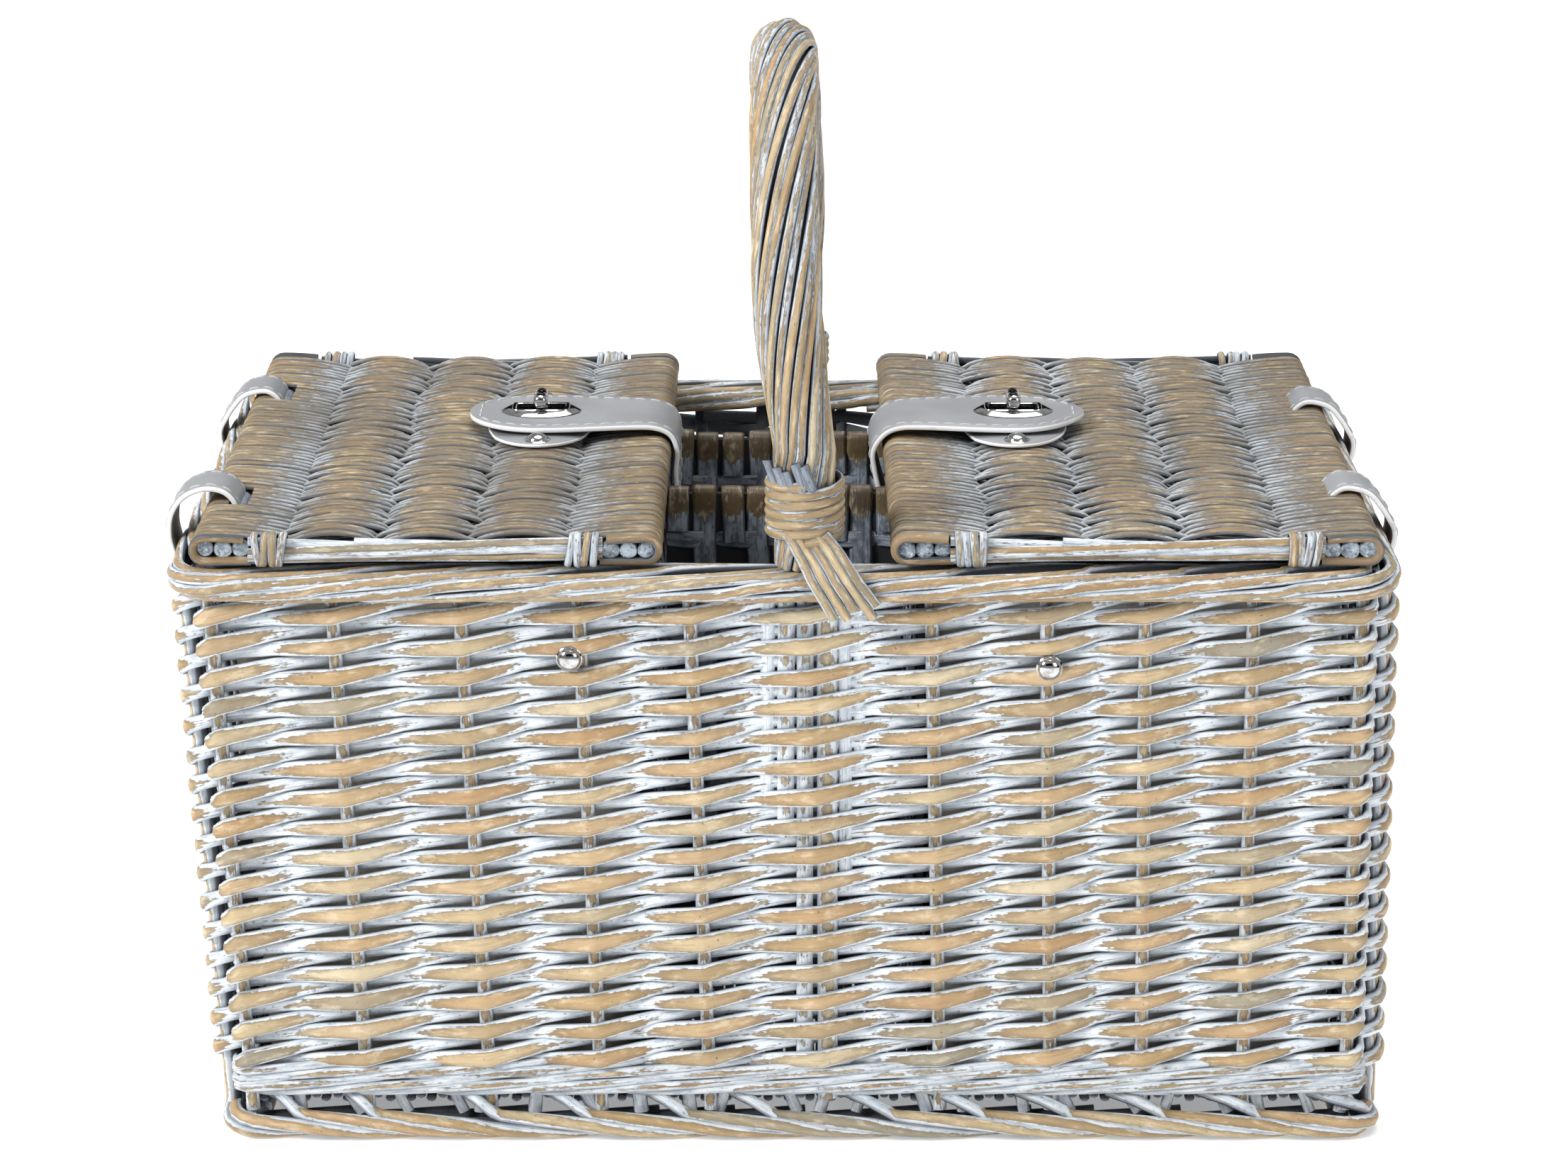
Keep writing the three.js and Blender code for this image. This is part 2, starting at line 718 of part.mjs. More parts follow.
// The room that a loop takes where it passes under the rim and through a lid
function loopNotch(lid, y) {
  const half = loopWidth / 2 + clearance;
  const low = loopBottom - loopThickness - clearance;
  return block(lid.side * (loopInnerX - 2 * loopThickness), lid.side * (loopOuterX + 2 * loopThickness),
    y - half, y + half, low, wallTop + 1);
}

function loopSlot(lid, y) {
  const half = loopWidth / 2 + clearance;
  const near = lid.side * (loopInnerX + clearance);
  const far = lid.side * (loopInnerX - loopThickness - clearance);
  return block(near, far, y - half, y + half, bodyHeight, lidTop + 1);
}

// Lids. A place on a lid is given by its distance from the lid's inner edge.
function lidX(lid, distance) {
  return lid.side * (lid.inner + distance);
}

function lidSpan(lid) {
  return lid.outer - lid.inner;
}

// The lid's ends and underside, with room on top for the rows
function lidProfile(lid) {
  const span = lidSpan(lid);
  const floor = lidTop - ridgeDrop - lidRowGroove;
  const step = lidEndRadius + lidRowGroove;
  const inner = arc(lidEndRadius, lidMiddle, lidEndRadius, lidEndRadius, 270, 90, 8);
  const outer = arc(span - lidEndRadius, lidMiddle, lidEndRadius, lidEndRadius, 90, -90, 8);
  const top = [[step, floor], [span - step, floor]];
  return [...inner, ...top, ...outer].map(([distance, z]) => [lidX(lid, distance), z]);
}

// Columns of the lid's top: distance, depth below the crest, groove between the rows, and which
// rows stand out there
function lidColumns(lid) {
  const span = lidSpan(lid);
  const ridge = span / lidRidges;
  const half = [[0.15, 0], [0.55, 0.08], [0.78, 0.46]].map(([share, fall]) =>
    [lidEndRadius + share * (ridge - lidEndRadius), fall * ridgeDrop, lidRowGroove, 0]);
  const start = lidEndRadius - lidRowGroove;
  const columns = [[start, lidRowGroove, 0, 0], ...half];
  for (let valley = 1; valley < lidRidges; valley += 1) {
    columns.push([valley * ridge, ridgeDrop, 0, 0]);
    if (valley < lidRidges - 1) {
      for (const [share, fall] of [[0.13, 0.46], [0.5, 0], [0.87, 0.46]]) {
        columns.push([(valley + share) * ridge, fall * ridgeDrop, lidRowGroove, valley % 2]);
      }
    }
  }
  const mirrored = half.map(([distance, ...rest]) => [span - distance, ...rest]).reverse();
  return [...columns, ...mirrored, [span - start, lidRowGroove, 0, 0]];
}

// The woven rows on top of a lid, as one solid down to the lid's middle
function lidTopRows(lid) {
  const front = lidPanelFront + clearance;
  const rear = lidPanelRear - clearance;
  const pitch = (rear - front) / lidRows;
  const columns = lidColumns(lid).map(([distance, drop, groove, turn]) => {
    const x = lidX(lid, distance);
    const rows = Array.from({ length: lidRows }, (_, row) =>
      [x, front + (row + 0.5) * pitch, lidTop - drop - (row % 2 === turn ? 0 : groove)]);
    return [[x, front, lidTop - drop], ...rows, [x, rear, lidTop - drop]];
  });
  if (lid.side < 0) {
    columns.reverse();
  }
  const backs = columns.map(([[x]]) => [[x, front, lidMiddle], [x, rear, lidMiddle]]);
  return closedGrid(columns, backs);
}

function bundleSticks(lid, first, y0, y1, radius) {
  const sticks = [];
  for (let i = 0; i < sticksInBundle; i += 1) {
    const x = lidX(lid, first + stickDiameter / 2 + i * stickPitch);
    const stick = new THREE.CylinderGeometry(radius, radius, y1 - y0, 12);
    sticks.push(stick.translate(x, (y0 + y1) / 2, lidMiddle));
  }
  return join(...sticks);
}

function bindingPlaces(lid) {
  return [
    ['outer', lidSpan(lid) - lidBindingOffset],
    ['inner', lidBindingOffset],
  ];
}

// The band of the binding seen along X, and the rods that it holds
function edgeRodBand(ySide, extra) {
  const outer = ySide < 0 ? lidFront : lidRear;
  const inner = outer - ySide * edgeRodDepth;
  const low = lidMiddle - edgeRodHeight / 2;
  return [
    Math.min(outer, inner) - extra,
    Math.max(outer, inner) + extra,
    low - extra,
    low + edgeRodHeight + extra,
  ];
}

function lidBindingBlock(lid, distance, ySide, extra) {
  const band = edgeRodBand(ySide, clearance + lidBindingThickness + extra);
  const half = lidBindingWidth / 2 + extra;
  const x = lidX(lid, distance);
  return prismX(outline(rectangle(...band)), x - half, x + half);
}

function makeLid(lid) {
  const span = lidSpan(lid);
  const slots = lid.loopY.map((y) => loopSlot(lid, y));
  const channels = [stickEndMargin, span - bundleEnd].map((first) =>
    bundleSticks(lid, first, lidFront - 1, lidRear + 1, stickDiameter / 2 + clearance));
  const notches = [];
  for (const ySide of cornerSides) {
    for (const [, distance] of bindingPlaces(lid)) {
      notches.push(lidBindingBlock(lid, distance, ySide, clearance));
    }
  }
  const panel = join(prismY(outline(lidProfile(lid)), lidPanelFront, lidPanelRear), lidTopRows(lid));
  addPiece(`lid_panel_${lid.name}`, cut(panel, ...channels, ...notches, ...slots), 'lid');

  const innerSticks = bundleSticks(lid, stickEndMargin, lidFront, lidRear, stickDiameter / 2);
  addPiece(`lid_inner_sticks_${lid.name}`, innerSticks, 'border');
  const outerSticks = bundleSticks(lid, span - bundleEnd, lidFront, lidRear, stickDiameter / 2);
  addPiece(`lid_outer_sticks_${lid.name}`, cut(outerSticks, ...slots), 'border');

  const rodStart = bundleEnd + clearance;
  const rodEnds = [lidX(lid, rodStart), lidX(lid, span - rodStart)].sort((a, b) => a - b);
  for (const ySide of cornerSides) {
    const place = ySide < 0 ? 'front' : 'rear';
    const rods = prismX(outline(roundedRectangle(...edgeRodBand(ySide, 0), 2, 3)), ...rodEnds);
    addPiece(`lid_${place}_edge_${lid.name}`, rods, 'border');
    for (const [which, distance] of bindingPlaces(lid)) {
      const x = lidX(lid, distance);
      const half = lidBindingWidth / 2;
      const hole = roundedRectangle(...edgeRodBand(ySide, clearance), 2, 3);
      const skin = roundedRectangle(...edgeRodBand(ySide, clearance + lidBindingThickness), 3, 3);
      const ring = prismX(outline(skin, hole), x - half, x + half);
      addPiece(`lid_binding_${lid.name}_${place}_${which}`, ring, 'border');
    }
  }

  const liningEnd = lid.side * (loopInnerX - loopThickness - 2 * clearance);
  const lining = block(lidX(lid, lidEndRadius / 2), liningEnd, lidFront + lidLiningMargin,
    lidRear - lidLiningMargin, lidLiningBottom, lidLiningTop);
  addPiece(`lid_lining_${lid.name}`, lining, 'cloth');
}

// Turn lock, with the strap buttoned over it
function ellipseOutline(x, y, length, width, steps) {
  return arc(x, y, length / 2, width / 2, 0, 360 - 360 / steps, steps - 1);
}

function strapProfile(lid) {
  const tip = lockSetback + strapTipReach + 5;
  const bend = strapBendRadius;
  const innerBend = arc(bend - clearance, strapBottom - bend, bend, bend, 90, 180, 4);
  const outerRadius = bend + strapThickness;
  const outerBend = arc(bend - clearance, strapBottom - bend, outerRadius, outerRadius, 180, 90, 5);
  const tailEnds = [[-clearance, strapTailEnd], [-clearance - strapThickness, strapTailEnd]];
  const side = [[tip, strapBottom], ...innerBend, ...tailEnds, ...outerBend, [tip, strapTop]];
  return side.map(([distance, z]) => [lidX(lid, distance), z]);
}

function strapPlan(lid) {
  const beyond = -clearance - strapThickness - 1;
  const tip = arc(lockSetback, lockY, strapTipReach, strapWideHalf, -90, 90, 12);
  const plan = [[beyond, lockY - strapNarrowHalf], [0, lockY - strapNarrowHalf], ...tip,
    [0, lockY + strapNarrowHalf], [beyond, lockY + strapNarrowHalf]];
  return plan.map(([distance, y]) => [lidX(lid, distance), y]);
}

function makeLock(lid) {
  const x = lidX(lid, lockSetback);
  const patchShape = outline(ellipseOutline(x, lockY, patchLength, patchWidth, 24));
  const rivetSpots = [-1, 1].map((way) => lockY + way * (patchWidth / 2 - patchRivetMargin));
  const rivets = rivetSpots.map((y) => {
    const dome = arc(0, 0, patchRivetDiameter / 2, patchRivetHeight, 0, 90, 4);
    const points = [[0, -patchThickness / 2], [patchRivetDiameter / 2, -patchThickness / 2], ...dome];
    const turned = new THREE.LatheGeometry(points.map(([a, b]) => new THREE.Vector2(Math.max(a, 0), b)), 14);
    return turned.rotateX(Math.PI / 2).translate(x, y, patchTop);
  });
  const patch = prismZ(patchShape, patchBottom, patchTop);
  addPiece(`lock_patch_${lid.name}`, join(patch, ...rivets), 'leather');

  const plateShape = outline(ellipseOutline(x, lockY, lockPlateLength, lockPlateWidth, 20));
  const plate = prismZ(plateShape, lockPlateBottom, lockPlateTop);
  const post = uprightCylinder(x, lockY, lockPlateBottom, eyeletTop, postDiameter / 2, 16);
  const bore = uprightCylinder(x, lockY, lockPlateTop, eyeletTop + 1, postBoreDiameter / 2, 12);
  addPiece(`lock_post_${lid.name}`, cut(join(plate, post), bore), 'nickel');

  const innerLength = eyeletLength - 2 * eyeletLip;
  const innerWidth = eyeletWidth - 2 * eyeletLip;
  const holeSize = [innerLength + 2 * clearance, innerWidth + 2 * clearance];
  const strapHole = outline(ellipseOutline(x, lockY, ...holeSize, 24));
  const strip = prismY(outline(strapProfile(lid)), lockY - strapWideHalf - 1, lockY + strapWideHalf + 1);
  const trim = prismZ(outline(strapPlan(lid)), strapTailEnd - 1, strapTop + 1);
  const hole = prismZ(strapHole, strapBottom - 1, strapTop + 1);
  addPiece(`closure_strap_${lid.name}`, cut(overlap(strip, trim), hole), 'leather');

  const flangeShape = outline(ellipseOutline(x, lockY, eyeletLength, eyeletWidth, 28));
  const flange = prismZ(flangeShape, eyeletBottom, eyeletTop);
  const collarShape = outline(ellipseOutline(x, lockY, innerLength, innerWidth, 24));
  const collar = prismZ(collarShape, strapBottom, eyeletTop);
  const slot = block(x - eyeletSlotLength / 2, x + eyeletSlotLength / 2,
    lockY - eyeletSlotWidth / 2, lockY + eyeletSlotWidth / 2, strapBottom - 1, eyeletTop + 1);
  addPiece(`eyelet_plate_${lid.name}`, cut(join(flange, collar), slot), 'nickel');

  const half = knobLength / 2;
  const crown = arc(0, half - knobDiameter / 4, knobDiameter / 2, knobDiameter / 4, 0, 90, 4);
  const tipPoints = [...crown.map(([a, b]) => [a, -b]).reverse(), ...crown];
  const barPoints = tipPoints.map(([a, b]) => new THREE.Vector2(Math.max(a, 0), b));
  const turned = new THREE.LatheGeometry(barPoints, 14);
  const knobBar = turned.translate(x, lockY, knobMiddle);
  const stem = uprightCylinder(x, lockY, knobBottom - knobStemLength, knobMiddle, knobStemDiameter / 2, 10);
  addPiece(`turn_knob_${lid.name}`, join(knobBar, stem), 'nickel');
}

makeFoot();
makeBase();
makeCornerPosts();
makeWalls();
makeWallRivets();
makeRims();
makeHandle();
makeDividers();
makeLinings();
makeLoops();
for (const lid of lids) {
  makeLid(lid);
  makeLock(lid);
}

export default basket;
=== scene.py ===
"""Looks of a willow picnic basket with two lids, grey leather straps and nickel turn locks.

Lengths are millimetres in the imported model's frame until a mesh is made from them.
X runs along the basket, Y from its front to its back and Z up, from the floor under its middle.
"""

import itertools
import math
import random

import bmesh
import bpy
import numpy as np
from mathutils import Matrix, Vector


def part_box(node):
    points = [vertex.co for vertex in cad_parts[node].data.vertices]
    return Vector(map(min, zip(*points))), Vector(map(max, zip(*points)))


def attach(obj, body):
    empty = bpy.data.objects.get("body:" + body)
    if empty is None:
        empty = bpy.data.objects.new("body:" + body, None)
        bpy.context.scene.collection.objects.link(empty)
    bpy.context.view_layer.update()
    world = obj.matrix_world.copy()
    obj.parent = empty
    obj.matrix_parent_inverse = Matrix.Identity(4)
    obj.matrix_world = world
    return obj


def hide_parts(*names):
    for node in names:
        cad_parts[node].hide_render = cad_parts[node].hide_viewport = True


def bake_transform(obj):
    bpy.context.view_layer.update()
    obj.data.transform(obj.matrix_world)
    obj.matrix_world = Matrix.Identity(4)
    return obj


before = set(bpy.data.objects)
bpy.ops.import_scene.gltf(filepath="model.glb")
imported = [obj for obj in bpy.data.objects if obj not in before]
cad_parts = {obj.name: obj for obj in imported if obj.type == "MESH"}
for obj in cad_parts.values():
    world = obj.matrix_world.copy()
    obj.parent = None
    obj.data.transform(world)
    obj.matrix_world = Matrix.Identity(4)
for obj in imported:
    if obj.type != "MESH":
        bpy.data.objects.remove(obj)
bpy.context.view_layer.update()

MILLIMETRE = 0.001
ACROSS = np.array([0.0, 1.0, 0.0])
UP = np.array([0.0, 0.0, 1.0])
SHARP_EDGE = 38

# Body
HALF_LENGTH = 210.0
HALF_DEPTH = 125.0
BODY_HEIGHT = 212.0
WALL_MIDDLE = 106.0
RIM_OVERHANG = 9.3
RIM_WIDTH = 19.5
RIM_HEIGHT = 11.0
WALL_TAPER = 2.5
BASE_LEAN = 6.0
FOOT_OVERHANG = 7.3
FOOT_WIDTH = 18.0
FOOT_HEIGHT = 10.5

# Weave of the walls: rods climb one row at each stake, in front of every second stake
ROW_HEIGHT = 5.5
FIRST_ROW = 30.0
ROWS = 31
WEAVE_SWING = 3.4
WEAVE_INSET = 2.5
SIDE_OUTSET = 3.0
FRONT_STAKES = [-150.0, -106.7, -67.1, -29.0, 10.8, 52.5, 91.5, 124.3, 160.5]
REAR_STAKES = [158.0, 119.0, 84.0, 46.0, 11.0, -30.0, -70.0, -112.0, -153.0]
SIDE_STAKES = [-70.0, -35.0, 0.0, 35.0, 70.0]
STAKE_HALF_WIDTH = 2.45
CORNER_INSET = 5.3
POST_INSET = 10.5
# The front stake in whose place the handle's own stakes stand
HIDDEN_STAKE = 5

# Handle
HANDLE_LEG_Y = 110.7
HANDLE_SPRING = 252.3
HANDLE_FRONT_X = 7.0
HANDLE_REAR_X = 4.0
HANDLE_STRANDS = 19

# Lids
LID_TOP = 223.8
LID_BOTTOM = 213.1
LID_MIDDLE = 218.45
LID_EDGE = 115.4
LID_LAST_ROW = 112.7
LID_SLOT = (187.0, 189.9)
LID_RIDGES = 5
LID_WEAVERS = 116
LIDS = {
    "left": {"side": -1, "inner": 41.0, "outer": 200.3, "loops": (-68.0, 64.0)},
    "right": {"side": 1, "inner": 36.0, "outer": 202.0, "loops": (-60.0, 49.0)},
}
for name, lid in LIDS.items():
    lid["name"] = name
    lid["body"] = f"lid_{name}"
    lid["span"] = lid["outer"] - lid["inner"]

# Turn locks, as distances from the lid's inner edge
LOCK_DISTANCE = 48.0
TIP_LENGTH = 26.0

# Inside
DIVIDER_TOP = 207.6
PARTITION_FACE = 51.2
CLOTH_INSET = 10.6


def linear(code):
    """A colour written as six hexadecimal digits, as the shader wants it."""
    channels = [int(code[i:i + 2], 16) / 255 for i in (0, 2, 4)]
    return (*[c / 12.92 if c <= 0.04045 else ((c + 0.055) / 1.055) ** 2.4 for c in channels], 1.0)


def operator(operation, swapped=False):
    """A method of Wire that adds one Math node."""
    def method(self, other):
        first, second = (other, self) if swapped else (self, other)
        return self.nodes.add("ShaderNodeMath", {"operation": operation}, {0: first, 1: second})
    return method


class Wire:
    """A socket of a node tree, whose sums add Math nodes to the tree."""

    def __init__(self, nodes, socket):
        self.nodes = nodes
        self.socket = socket

    __add__ = operator("ADD")
    __radd__ = operator("ADD", True)
    __sub__ = operator("SUBTRACT")
    __rsub__ = operator("SUBTRACT", True)
    __mul__ = operator("MULTIPLY")
    __rmul__ = operator("MULTIPLY", True)
    __truediv__ = operator("DIVIDE")
    __gt__ = operator("GREATER_THAN")


class Nodes:
    """Adds nodes to one tree."""

    def __init__(self, tree):
        self.tree = tree

    def add(self, kind, settings=None, values=None, output=0):
        node = self.tree.nodes.new(kind)
        for name, setting in (settings or {}).items():
            if name == "stops":
                ramp = node.color_ramp
                while len(ramp.elements) < len(setting):
                    ramp.elements.new(0.5)
                for element, (place, colour) in zip(ramp.elements, setting):
                    element.position = place
                    element.color = colour
            else:
                setattr(node, name, setting)
        for key, value in (values or {}).items():
            self.feed(node.inputs[key], value)
        return Wire(self, node.outputs[output])

    def feed(self, socket, value):
        """Links a wire to a socket, or sets the socket's plain value."""
        if isinstance(value, Wire):
            self.tree.links.new(value.socket, socket)
        else:
            socket.default_value = value

    def mix(self, share, first, second):
        """A colour between two colours."""
        return self.add("ShaderNodeMix", {"data_type": "RGBA"}, {0: share, 6: first, 7: second}, 2)

    def tinted(self, colour, *layers):
        """A colour under others. Each has its value's low and high ends, its share and its code."""
        for value, low, high, share, code in layers:
            colour = self.mix(self.step(value, low, high) * share, colour, linear(code))
        return colour

    def attribute(self, name):
        return self.add("ShaderNodeAttribute", {"attribute_name": name}, output=2)

    def position(self):
        """The place in the piece's own axes, in metres."""
        return self.add("ShaderNodeTexCoord", output=3)

    def vector(self, x, y, z):
        return self.add("ShaderNodeCombineXYZ", {}, {0: x, 1: y, 2: z})

    def noise(self, place, scale, detail=3.0, roughness=0.55):
        values = {"Vector": place, "Scale": scale, "Detail": detail, "Roughness": roughness}
        return self.add("ShaderNodeTexNoise", {}, values)

    def waves(self, place, scale, distortion, direction="X"):
        values = {"Vector": place, "Scale": scale, "Distortion": distortion}
        return self.add("ShaderNodeTexWave", {"bands_direction": direction}, values, 1)

    def step(self, value, low, high):
        """0 below low, 1 above high and smooth between."""
        settings = {"interpolation_type": "SMOOTHSTEP"}
        values = {"Value": value, "From Min": low, "From Max": high}
        return self.add("ShaderNodeMapRange", settings, values)

    def bump(self, height, distance, strength=1.0):
        return self.add("ShaderNodeBump", {}, {"Strength": strength, "Distance": distance, "Height": height})


def new_material(name):
    """An empty node material, its Nodes and its shader node."""
    material = bpy.data.materials.new(name)
    material.use_nodes = True
    shader = material.node_tree.nodes["Principled BSDF"]
    return material, Nodes(material.node_tree), shader


def plug(nodes, shader, **sockets):
    """Sets or links the shader's sockets, named with underscores for spaces."""
    for name, value in sockets.items():
        nodes.feed(shader.inputs[name.replace("_", " ")], value)


def willow(name, tans, washes, stain_and_shade, stain_and_shade_share=0.6, stain_and_shade_from=0.55, rub=0.0, gloss=0.42, clouding=0.0):
    """Whitewashed willow whose high spots are rubbed back to the bare rod.

    The attribute lift says how far a point stands above the rubbed level, in millimetres, and
    facing goes from 1 on the rod's outer line to 0 at its sides, where dark staining and painted
    shade stay. Clouding is the share of grey brown clouds over the whole face.
    """
    material, nodes, shader = new_material(name)
    keys = ("along", "side", "facing", "tone", "lift")
    along, side, facing, tone, lift = (nodes.attribute(key) for key in keys)
    place = nodes.vector(along * 0.035, side * 3.4 + tone * 43.0, facing * 3.4 + tone * 19.0)
    grain = nodes.noise(place, 1.6, 4.0, 0.62)
    place = nodes.vector(along * 0.13, side * 1.1 + tone * 31.0, facing * 1.1 + tone * 7.0)
    patch = nodes.noise(place, 1.0, 3.0, 0.6)
    place = nodes.vector(along * 0.55, side * 2.0 + tone * 61.0, facing * 2.0)
    speck = nodes.noise(place, 1.0, 2.0, 0.5)

    level = lift + (patch - 0.5) * 1.2 + (grain - 0.5) * 1.1 + (speck - 0.5) * 0.5 + rub
    rubbed = nodes.step(level, -0.1, 0.14)
    edge = rubbed * (1.0 - rubbed) * 4.0

    stops = [((i + 0.5) / len(tans), linear(code)) for i, code in enumerate(tans)]
    # The first layer darkens the bare rod where it stands lower, towards the hollows: painted shade.
    bare = nodes.tinted(
        nodes.add("ShaderNodeValToRGB", {"stops": stops}, {0: tone}),
        (level, 0.9, 0.05, 0.62, "7a6647"),
        (grain, 0.5, 0.72, 0.4, "7d5f3d"),
        (patch, 0.52, 0.72, 0.45, "e6d9bd"),
        (speck, 0.68, 0.76, 0.6, "4a3828"),
        (speck, 0.33, 0.25, 0.35, "a9aba5"),
    )
    # The wash is darkened at the rods' sides, where facing is low: dark staining and painted shade.
    wash = nodes.tinted(
        linear(washes[0]),
        (patch, 0.4, 0.66, 1.0, washes[1]),
        (grain, 0.53, 0.68, 0.55, stain_and_shade),
        (speck, 0.62, 0.72, 0.5, stain_and_shade),
        (facing + (patch - 0.5) * 0.7, stain_and_shade_from, stain_and_shade_from - 0.45, stain_and_shade_share, stain_and_shade),
    )
    colour = nodes.mix(rubbed, wash, bare)
    if clouding:
        cloud = nodes.noise(nodes.position(), 17.0, 3.0, 0.6)
        colour = nodes.tinted(colour, (cloud + (grain - 0.5) * 0.3, 0.42, 0.66, clouding, "5e574c"))
    # Painted shade: the backs of the rods, where facing is below 0, are darkened to near black.
    colour = nodes.tinted(colour, (facing, -0.05, -0.45, 0.85, "2c2f35"))
    # A dark line along the edge of the rubbed patches, in places: painted shade of the wash's edge.
    colour = nodes.mix(edge * nodes.step(speck, 0.3, 0.62) * 0.6, colour, linear("4d443b"))
    roughness = 0.66 - rubbed * (0.66 - gloss) + (grain - 0.5) * 0.16
    height = grain * 0.6 + patch * 0.4 - edge * 0.15
    plug(nodes, shader, Base_Color=colour, Roughness=roughness, Normal=nodes.bump(height, 0.0006, 0.7))
    return material


TANS = ["bea17a", "cab48e", "a8926f", "c4a983", "b19067", "cfc0a2", "ab926b", "b99c71", "969180", "c0ad8a"]
wall_willow = willow("washed willow wall", TANS, ["e6ecf1", "c3cdd6"], "5d6470", 0.5, 0.5, -0.08)
rim_willow = willow("washed willow rim", TANS, ["d6dce2", "aab4be"], "33363d", 0.9, 0.42, -0.1)
foot_willow = willow("washed willow foot", TANS, ["d6dce1", "aeb8c1"], "4a5059", 0.6, 0.5, -0.05)
handle_willow = willow("washed willow handle", TANS, ["c6cdd4", "949faa"], "1c1e23", 0.97, 0.45, -0.05)
LID_TANS = ["8a7c60", "958364", "827868", "8f7956", "977b5a", "807b6f", "8d8068", "968564"]
# The left lid's copy is darker all over and more clouded than the right's.
lid_willows = {
    side: willow(f"washed willow {side} lid", LID_TANS, washes, stain_and_shade, share, 0.95, clouding=clouding)
    for side, washes, stain_and_shade, share, clouding in (
        ("left", ["bcc1c5", "7b7f84"], "3a3c40", 0.78, 0.52),
        ("right", ["c4c9cd", "84888d"], "3d3f43", 0.76, 0.3),
    )
}
shaded_willow = willow(
    "shaded willow", ["6d5b45", "78684f", "665a4c", "7a6244"], ["8c95a0", "6b727d"], "2b2c32", 0.8, 0.5
)
# Willow painted nearly black as shade, for cores that show only through gaps.
painted_shade_willow = willow("painted shade willow", ["3d3833", "45403a"], ["34353c", "2a2b31"], "1c1c20", 0.8, 0.5, -3.0)


# Rods along paths
def rod_tree():
    """Sweeps a round section along each path, then flattens it towards and away from the outside."""
    tree = bpy.data.node_groups.new("rods along paths", "GeometryNodeTree")
    sockets = {}
    for label, kind in [
        ("Paths", "NodeSocketGeometry"),
        ("Sides", "NodeSocketInt"),
        ("Front Depth", "NodeSocketFloat"),
        ("Back Depth", "NodeSocketFloat"),
        ("Finish", "NodeSocketMaterial"),
    ]:
        sockets[label] = tree.interface.new_socket(label, in_out="INPUT", socket_type=kind).identifier
    tree.interface.new_socket("Rods", in_out="OUTPUT", socket_type="NodeSocketGeometry")
    nodes = Nodes(tree)
    inputs = tree.nodes.new("NodeGroupInput")
    given = {socket.name: Wire(nodes, socket) for socket in inputs.outputs if socket.name}

    def named(name, kind):
        return nodes.add("GeometryNodeInputNamedAttribute", {"data_type": kind}, {"Name": name})

    def vectors(operation, first, second, output=0):
        return nodes.add("ShaderNodeVectorMath", {"operation": operation}, {0: first, 1: second}, output)

    def store(geometry, name, value):
        settings = {"data_type": "FLOAT", "domain": "POINT"}
        values = {"Geometry": geometry, "Name": name, "Value": value}
        return nodes.add("GeometryNodeStoreNamedAttribute", settings, values)

    curve = nodes.add("GeometryNodeMeshToCurve", {}, {"Mesh": given["Paths"]})
    outward = named("outward", "FLOAT_VECTOR")
    values = {"Curve": curve, "Normal": outward}
    curve = nodes.add("GeometryNodeSetCurveNormal", {"mode": "FREE"}, values)
    circle = nodes.add("GeometryNodeCurvePrimitiveCircle", {}, {"Resolution": given["Sides"], "Radius": 1.0})
    size = named("size", "FLOAT")
    values = {"Curve": curve, "Profile Curve": circle, "Scale": size, "Fill Caps": True}
    tube = nodes.add("GeometryNodeCurveToMesh", {}, values)

    place = nodes.add("GeometryNodeInputPosition")
    reach = vectors("SUBTRACT", place, named("core", "FLOAT_VECTOR"))
    out = vectors("DOT_PRODUCT", reach, outward, 1)
    across = vectors("DOT_PRODUCT", reach, named("sideways", "FLOAT_VECTOR"), 1)
    front = out > 0.0
    depth = front * given["Front Depth"] + (1.0 - front) * given["Back Depth"]
    lift = named("proud", "FLOAT") + out * depth * 1000.0
    tube = store(tube, "facing", out / size)
    tube = store(tube, "side", across / size)
    tube = store(tube, "lift", lift)
    values = {0: outward, "Scale": out * (depth - 1.0)}
    shift = nodes.add("ShaderNodeVectorMath", {"operation": "SCALE"}, values)
    tube = nodes.add("GeometryNodeSetPosition", {}, {"Geometry": tube, "Offset": shift})
    tube = nodes.add("GeometryNodeSetShadeSmooth", {}, {"Geometry": tube})
    tube = nodes.add("GeometryNodeRealizeInstances", {}, {"Geometry": tube})
    tube = nodes.add("GeometryNodeSetMaterial", {}, {"Geometry": tube, "Material": given["Finish"]})
    end = tree.nodes.new("NodeGroupOutput")
    tree.links.new(tube.socket, end.inputs[0])
    return tree, sockets


ROD_TREE, ROD_SOCKETS = rod_tree()


def unit(vectors):
    """The same directions, each with length one."""
    return vectors / np.maximum(np.linalg.norm(vectors, axis=-1, keepdims=True), 1e-9)


def run_length(line):
    """Distance of each point of a line from its start."""
    return np.concatenate([[0.0], np.cumsum(np.linalg.norm(np.diff(line, axis=0), axis=1))])


